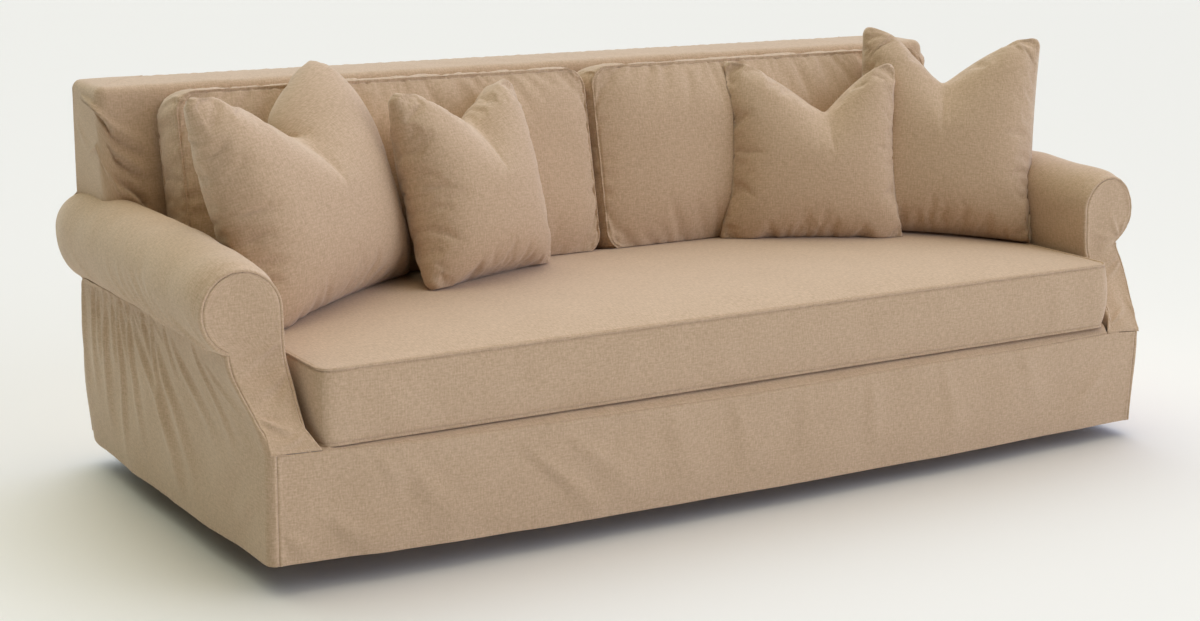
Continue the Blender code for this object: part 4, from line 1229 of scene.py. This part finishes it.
class SlipcoverLinen(bpy.types.PropertyGroup):
    """The cloth that every piece is cut from."""

    light: bpy.props.FloatVectorProperty(
        name="Light threads", description="Colour of the linen's lighter threads",
        subtype="COLOR", size=3, min=0.0, max=1.0, default=(0.668, 0.492, 0.342))
    dark: bpy.props.FloatVectorProperty(
        name="Dark threads", description="Colour of the linen's darker threads",
        subtype="COLOR", size=3, min=0.0, max=1.0, default=(0.518, 0.364, 0.230))
    roughness: bpy.props.FloatProperty(
        name="Roughness", description="How matt the linen is",
        subtype="FACTOR", min=0.0, max=1.0, default=0.92)
    sheen: bpy.props.FloatProperty(
        name="Sheen", description="Soft light on the linen's nap",
        subtype="FACTOR", min=0.0, max=1.0, default=0.30)
    weave: bpy.props.FloatProperty(
        name="Weave", description="How strongly the weave stands in relief",
        subtype="FACTOR", min=0.0, max=1.0, default=0.6)
    cell: bpy.props.FloatProperty(
        name="Mesh cell", description="Size of a mesh cell on the flat of the cloth",
        subtype="DISTANCE", unit="LENGTH", min=0.004, max=0.05, default=0.008)


class SlipcoverStage(bpy.types.PropertyGroup):
    """The floor and the studio light."""

    floor: bpy.props.FloatVectorProperty(
        name="Floor", description="Colour of the floor",
        subtype="COLOR", size=3, min=0.0, max=1.0, default=(0.86, 0.86, 0.86))
    room: bpy.props.FloatProperty(
        name="Room light", description="Strength of the soft light round the sofa",
        min=0.0, max=5.0, default=1.0)
    key: bpy.props.FloatProperty(
        name="Key light", description="Power of the softbox in front on the right",
        subtype="POWER", unit="POWER", min=0.0, max=2000.0, default=10.6)
    fill: bpy.props.FloatProperty(
        name="Fill light", description="Power of the softbox straight in front",
        subtype="POWER", unit="POWER", min=0.0, max=2000.0, default=7.5)


def linen():
    """The one linen that the pieces share."""
    made = bpy.data.materials.get(LINEN)
    return made or linen_material(LINEN, bpy.context.scene.slipcover_linen)


def piece(node):
    """A finished piece, by the node that it stands for."""
    item = bpy.data.objects.get(node + "_linen")
    if item is None:
        raise RuntimeError("make the " + node + " first")
    return item


class SLIPCOVER_OT_front(bpy.types.Operator):
    """Make the skirt below the seat rail and the deck above it"""

    bl_idname = "slipcover.front"
    bl_label = "Skirt and deck"

    def execute(self, context):
        deck = add_panel("deck", deck_place, DECK_WORK)
        add_panel("front_skirt", skirt_place, SKIRT_WORK)
        return {"FINISHED"}


MARGIN = 0.025           # how far a panel runs on past the seam where it enters another


def inside_arms(points):
    """Which of the inside back's places lie well inside either arm."""
    x, depth, level = points.T
    height, radius = read(ROLL, depth, "height"), read(ROLL, depth, "radius")
    half = np.abs(x) - ROLL_ACROSS
    in_roll = np.hypot(half, level - height) < radius - MARGIN
    in_wall = (level < height) & (half > MARGIN - radius)
    return in_roll | in_wall


def inside_back(points):
    """Which of an arm's places lie well inside the back."""
    x, depth, level = points.T
    lean = read(INSIDE_BACK, level, "depth")
    half = BACK_HALF - MARGIN - curl(depth - lean, BACK_CORNER)
    return (depth > lean + MARGIN) & (np.abs(x) < half)


class SLIPCOVER_OT_back(bpy.types.Operator):
    """Make the inside back with its top, and the outside back"""

    bl_idname = "slipcover.back"
    bl_label = "Back"

    def execute(self, context):
        inside = add_panel("inside_back", inside_back_place, INSIDE_BACK_WORK,
                           dropped=inside_arms)
        add_panel("outside_back", outside_back_place, OUTSIDE_BACK_WORK)
        return {"FINISHED"}


class SLIPCOVER_OT_arms(bpy.types.Operator):
    """Make each arm with its roll, its outside panel and its front"""

    bl_idname = "slipcover.arms"
    bl_label = "Arms"

    def execute(self, context):
        for side, word, arm_work, side_work, face_work in (
                (-1, "left", ARM_LEFT_WORK, SIDE_LEFT_WORK, FACE_LEFT_WORK),
                (1, "right", ARM_RIGHT_WORK, SIDE_RIGHT_WORK, FACE_RIGHT_WORK)):
            mirrored = side < 0
            arm = add_panel("arm_" + word, arm_place(side), arm_work,
                            mirrored=mirrored, dropped=inside_back)
            add_panel("outside_arm_" + word, outside_arm_place(side), side_work,
                      mirrored=mirrored)
            add_panel("arm_front_" + word, arm_front_place(side), face_work,
                      mirrored=mirrored)
        return {"FINISHED"}


SEAT_BOXING = Boxing(0.034, 0.016, 0.0010, 0.11, 0.0012, 61)
BACK_BOXING = Boxing(0.030, 0.026, 0.0024, 0.045, 0.0026, None)    # each cushion has its own seed


class SLIPCOVER_OT_seat(bpy.types.Operator):
    """Make the one long seat cushion"""

    bl_idname = "slipcover.seat"
    bl_label = "Seat cushion"

    def execute(self, context):
        foot = DECK + GAP
        halves = (SEAT_HALF, 0.5 * (SEAT_REAR - SEAT_FRONT), 0.5 * (SEAT_EDGE - foot))
        middle = (0.0, 0.5 * (SEAT_FRONT + SEAT_REAR), 0.5 * (SEAT_EDGE + foot))
        seat = add_boxed("seat_cushion", halves, SEAT_FILLING, SEAT_BOXING,
                         Matrix.Translation(middle))
        return {"FINISHED"}


class SLIPCOVER_OT_back_cushions(bpy.types.Operator):
    """Make the two boxed back cushions"""

    bl_idname = "slipcover.back_cushions"
    bl_label = "Back cushions"

    def execute(self, context):
        clear_of = [surface_of(piece("seat_cushion"))]
        halves = (BACK_CUSHION_HALF, 0.5 * BACK_CUSHION_HEIGHT, 0.5 * BACK_CUSHION_DEEP)
        for cushion in BACK_CUSHIONS:
            foot = Vector((cushion.across, *BACK_CUSHION_FOOT))
            stand = Matrix.Rotation(0.5 * pi - BACK_CUSHION_LEAN, 4, "X")
            middle = Matrix.Translation((0.0, halves[1], -halves[2]))
            item = add_boxed(cushion.name, halves, BACK_FILLING,
                             BACK_BOXING._replace(seed=cushion.seed),
                             Matrix.Translation(foot) @ stand @ middle, BACK_STUFFING, clear_of)
        return {"FINISHED"}


# What each pillow leans on besides the seat.
LEANT_ON = {
    "pillow_right_large": ("back_cushion_right", "arm_right", "inside_back"),
    "pillow_right_small": ("back_cushion_right", "pillow_right_large"),
    "pillow_left_large": ("back_cushion_left", "arm_left"),
    "pillow_left_small": ("back_cushion_left", "pillow_left_large"),
}


class SLIPCOVER_OT_pillows(bpy.types.Operator):
    """Make the four scatter pillows"""

    bl_idname = "slipcover.pillows"
    bl_label = "Scatter pillows"

    def execute(self, context):
        for pillow in PILLOWS:
            under = ("seat_cushion", *LEANT_ON[pillow.name])
            item = add_pillow(pillow, [surface_of(piece(node)) for node in under])
        return {"FINISHED"}


class SLIPCOVER_OT_stage(bpy.types.Operator):
    """Make the floor, the studio light and the camera"""

    bl_idname = "slipcover.stage"
    bl_label = "Stage"

    def execute(self, context):
        look = context.scene.slipcover_stage
        add_floor(look)
        add_room(context.scene, look)
        add_light("key", KEY_PLACE, look.key)
        add_light("fill", FILL_PLACE, look.fill)
        add_camera(context.scene)
        context.scene.view_settings.view_transform = "Standard"
        return {"FINISHED"}


FLOOR_HALF = 150.0
LIGHT_AIM, LIGHT_SIZE = (0.0, -0.3, -0.4), 2.4
KEY_PLACE, FILL_PLACE = (2.9, -3.6, 2.4), (0.0, -4.0, 2.6)


def add_floor(look):
    mesh = bmesh.new()
    bmesh.ops.create_grid(mesh, x_segments=2, y_segments=2, size=FLOOR_HALF)
    bmesh.ops.translate(mesh, verts=mesh.verts, vec=(0.0, 0.0, -CARRIED_AT[2]))
    floor = new_item("floor", mesh)
    floor.data.materials.append(plain_material("floor", look.floor, 0.95))


def add_light(name, place, power):
    light = bpy.data.lights.new(name, "AREA")
    light.shape = "SQUARE"
    light.size = LIGHT_SIZE
    light.energy = power
    item = bpy.data.objects.new(name, light)
    item.location = place
    item.rotation_euler = (Vector(LIGHT_AIM) - Vector(place)).to_track_quat("-Z", "Y").to_euler()
    bpy.context.scene.collection.objects.link(item)


# The room's light: soft boxes all round, each with its direction, how tight it is, and its
# colour times its strength.
SoftBox = namedtuple("SoftBox", "towards tight light")
ROOM = (
    SoftBox((0.0, 0.0, 1.0), 6.0, (1.61, 1.45, 1.03)),
    SoftBox((0.0, 0.7, 0.7), 5.0, (1.40, 1.54, 1.19)),
    SoftBox((0.5, 0.5, 0.7), 6.0, (1.18, 1.22, 1.85)),
    SoftBox((0.7, -0.7, 0.15), 8.0, (2.33, 2.40, 2.78)),
)


def add_room(scene, look):
    world = bpy.data.worlds.new("room")
    world.use_nodes = True
    tree = world.node_tree
    ahead = add_node(tree, "ShaderNodeTexCoord")
    total = (0.0, 0.0, 0.0)
    for box in ROOM:
        facing = add_node(tree, "ShaderNodeVectorMath", {"operation": "DOT_PRODUCT"},
                          {0: ahead, 1: Vector(box.towards).normalized()}, output=1)
        glow = add_node(tree, "ShaderNodeVectorMath", {"operation": "SCALE"},
                        {0: box.light, "Scale": facing.above(0.0) ** box.tight})
        total = add_node(tree, "ShaderNodeVectorMath", {"operation": "ADD"}, {0: glow, 1: total})
    background = tree.nodes["Background"]
    background.inputs["Strength"].default_value = look.room
    tree.links.new(total.socket, background.inputs["Color"])
    scene.world = world


CAMERA_PLACE = (-2.6287, -4.5417, 0.5469)
CAMERA_YAW, CAMERA_PITCH, CAMERA_ROLL = 0.5369, 0.2167, 0.0061
CAMERA_LENS = 62.34
CAMERA_SHIFT = (0.0328, -0.0173)


def add_camera(scene):
    ahead = Vector((sin(CAMERA_YAW) * cos(CAMERA_PITCH), cos(CAMERA_YAW) * cos(CAMERA_PITCH),
                    -sin(CAMERA_PITCH)))
    right = Vector((cos(CAMERA_YAW), -sin(CAMERA_YAW), 0.0))
    up = right.cross(ahead)
    rolled = right * cos(CAMERA_ROLL) + up * sin(CAMERA_ROLL)
    upright = up * cos(CAMERA_ROLL) - right * sin(CAMERA_ROLL)
    turn = Matrix((rolled, upright, -ahead)).transposed().to_4x4()
    camera = bpy.data.cameras.new("camera")
    camera.sensor_width = 36.0
    camera.lens = CAMERA_LENS
    camera.shift_x, camera.shift_y = CAMERA_SHIFT
    camera.clip_end = 200.0
    item = bpy.data.objects.new("camera", camera)
    item.matrix_world = Matrix.Translation(CAMERA_PLACE) @ turn
    scene.collection.objects.link(item)
    scene.camera = item


class SLIPCOVER_PT_tools(bpy.types.Panel):
    """The slipcover's pieces, in the order they are made"""

    bl_idname = "SLIPCOVER_PT_tools"
    bl_label = "Slipcover"
    bl_space_type = "VIEW_3D"
    bl_region_type = "UI"
    bl_category = "Slipcover"

    def draw(self, context):
        for group in (context.scene.slipcover_linen, context.scene.slipcover_stage):
            for name in group.__annotations__:
                self.layout.prop(group, name)
        for operator in OPERATORS:
            self.layout.operator(operator.bl_idname)


OPERATORS = (
    SLIPCOVER_OT_front,
    SLIPCOVER_OT_back,
    SLIPCOVER_OT_arms,
    SLIPCOVER_OT_seat,
    SLIPCOVER_OT_back_cushions,
    SLIPCOVER_OT_pillows,
    SLIPCOVER_OT_stage,
)
CLASSES = (SlipcoverLinen, SlipcoverStage, *OPERATORS, SLIPCOVER_PT_tools)


def register():
    for kind in CLASSES:
        bpy.utils.register_class(kind)
    bpy.types.Scene.slipcover_linen = bpy.props.PointerProperty(type=SlipcoverLinen)
    bpy.types.Scene.slipcover_stage = bpy.props.PointerProperty(type=SlipcoverStage)


def unregister():
    del bpy.types.Scene.slipcover_linen
    del bpy.types.Scene.slipcover_stage
    for kind in reversed(CLASSES):
        bpy.utils.unregister_class(kind)


def main():
    register()
    for operator in OPERATORS:
        group, name = operator.bl_idname.split(".")
        getattr(getattr(bpy.ops, group), name)()


if __name__ == "__main__":
    main()
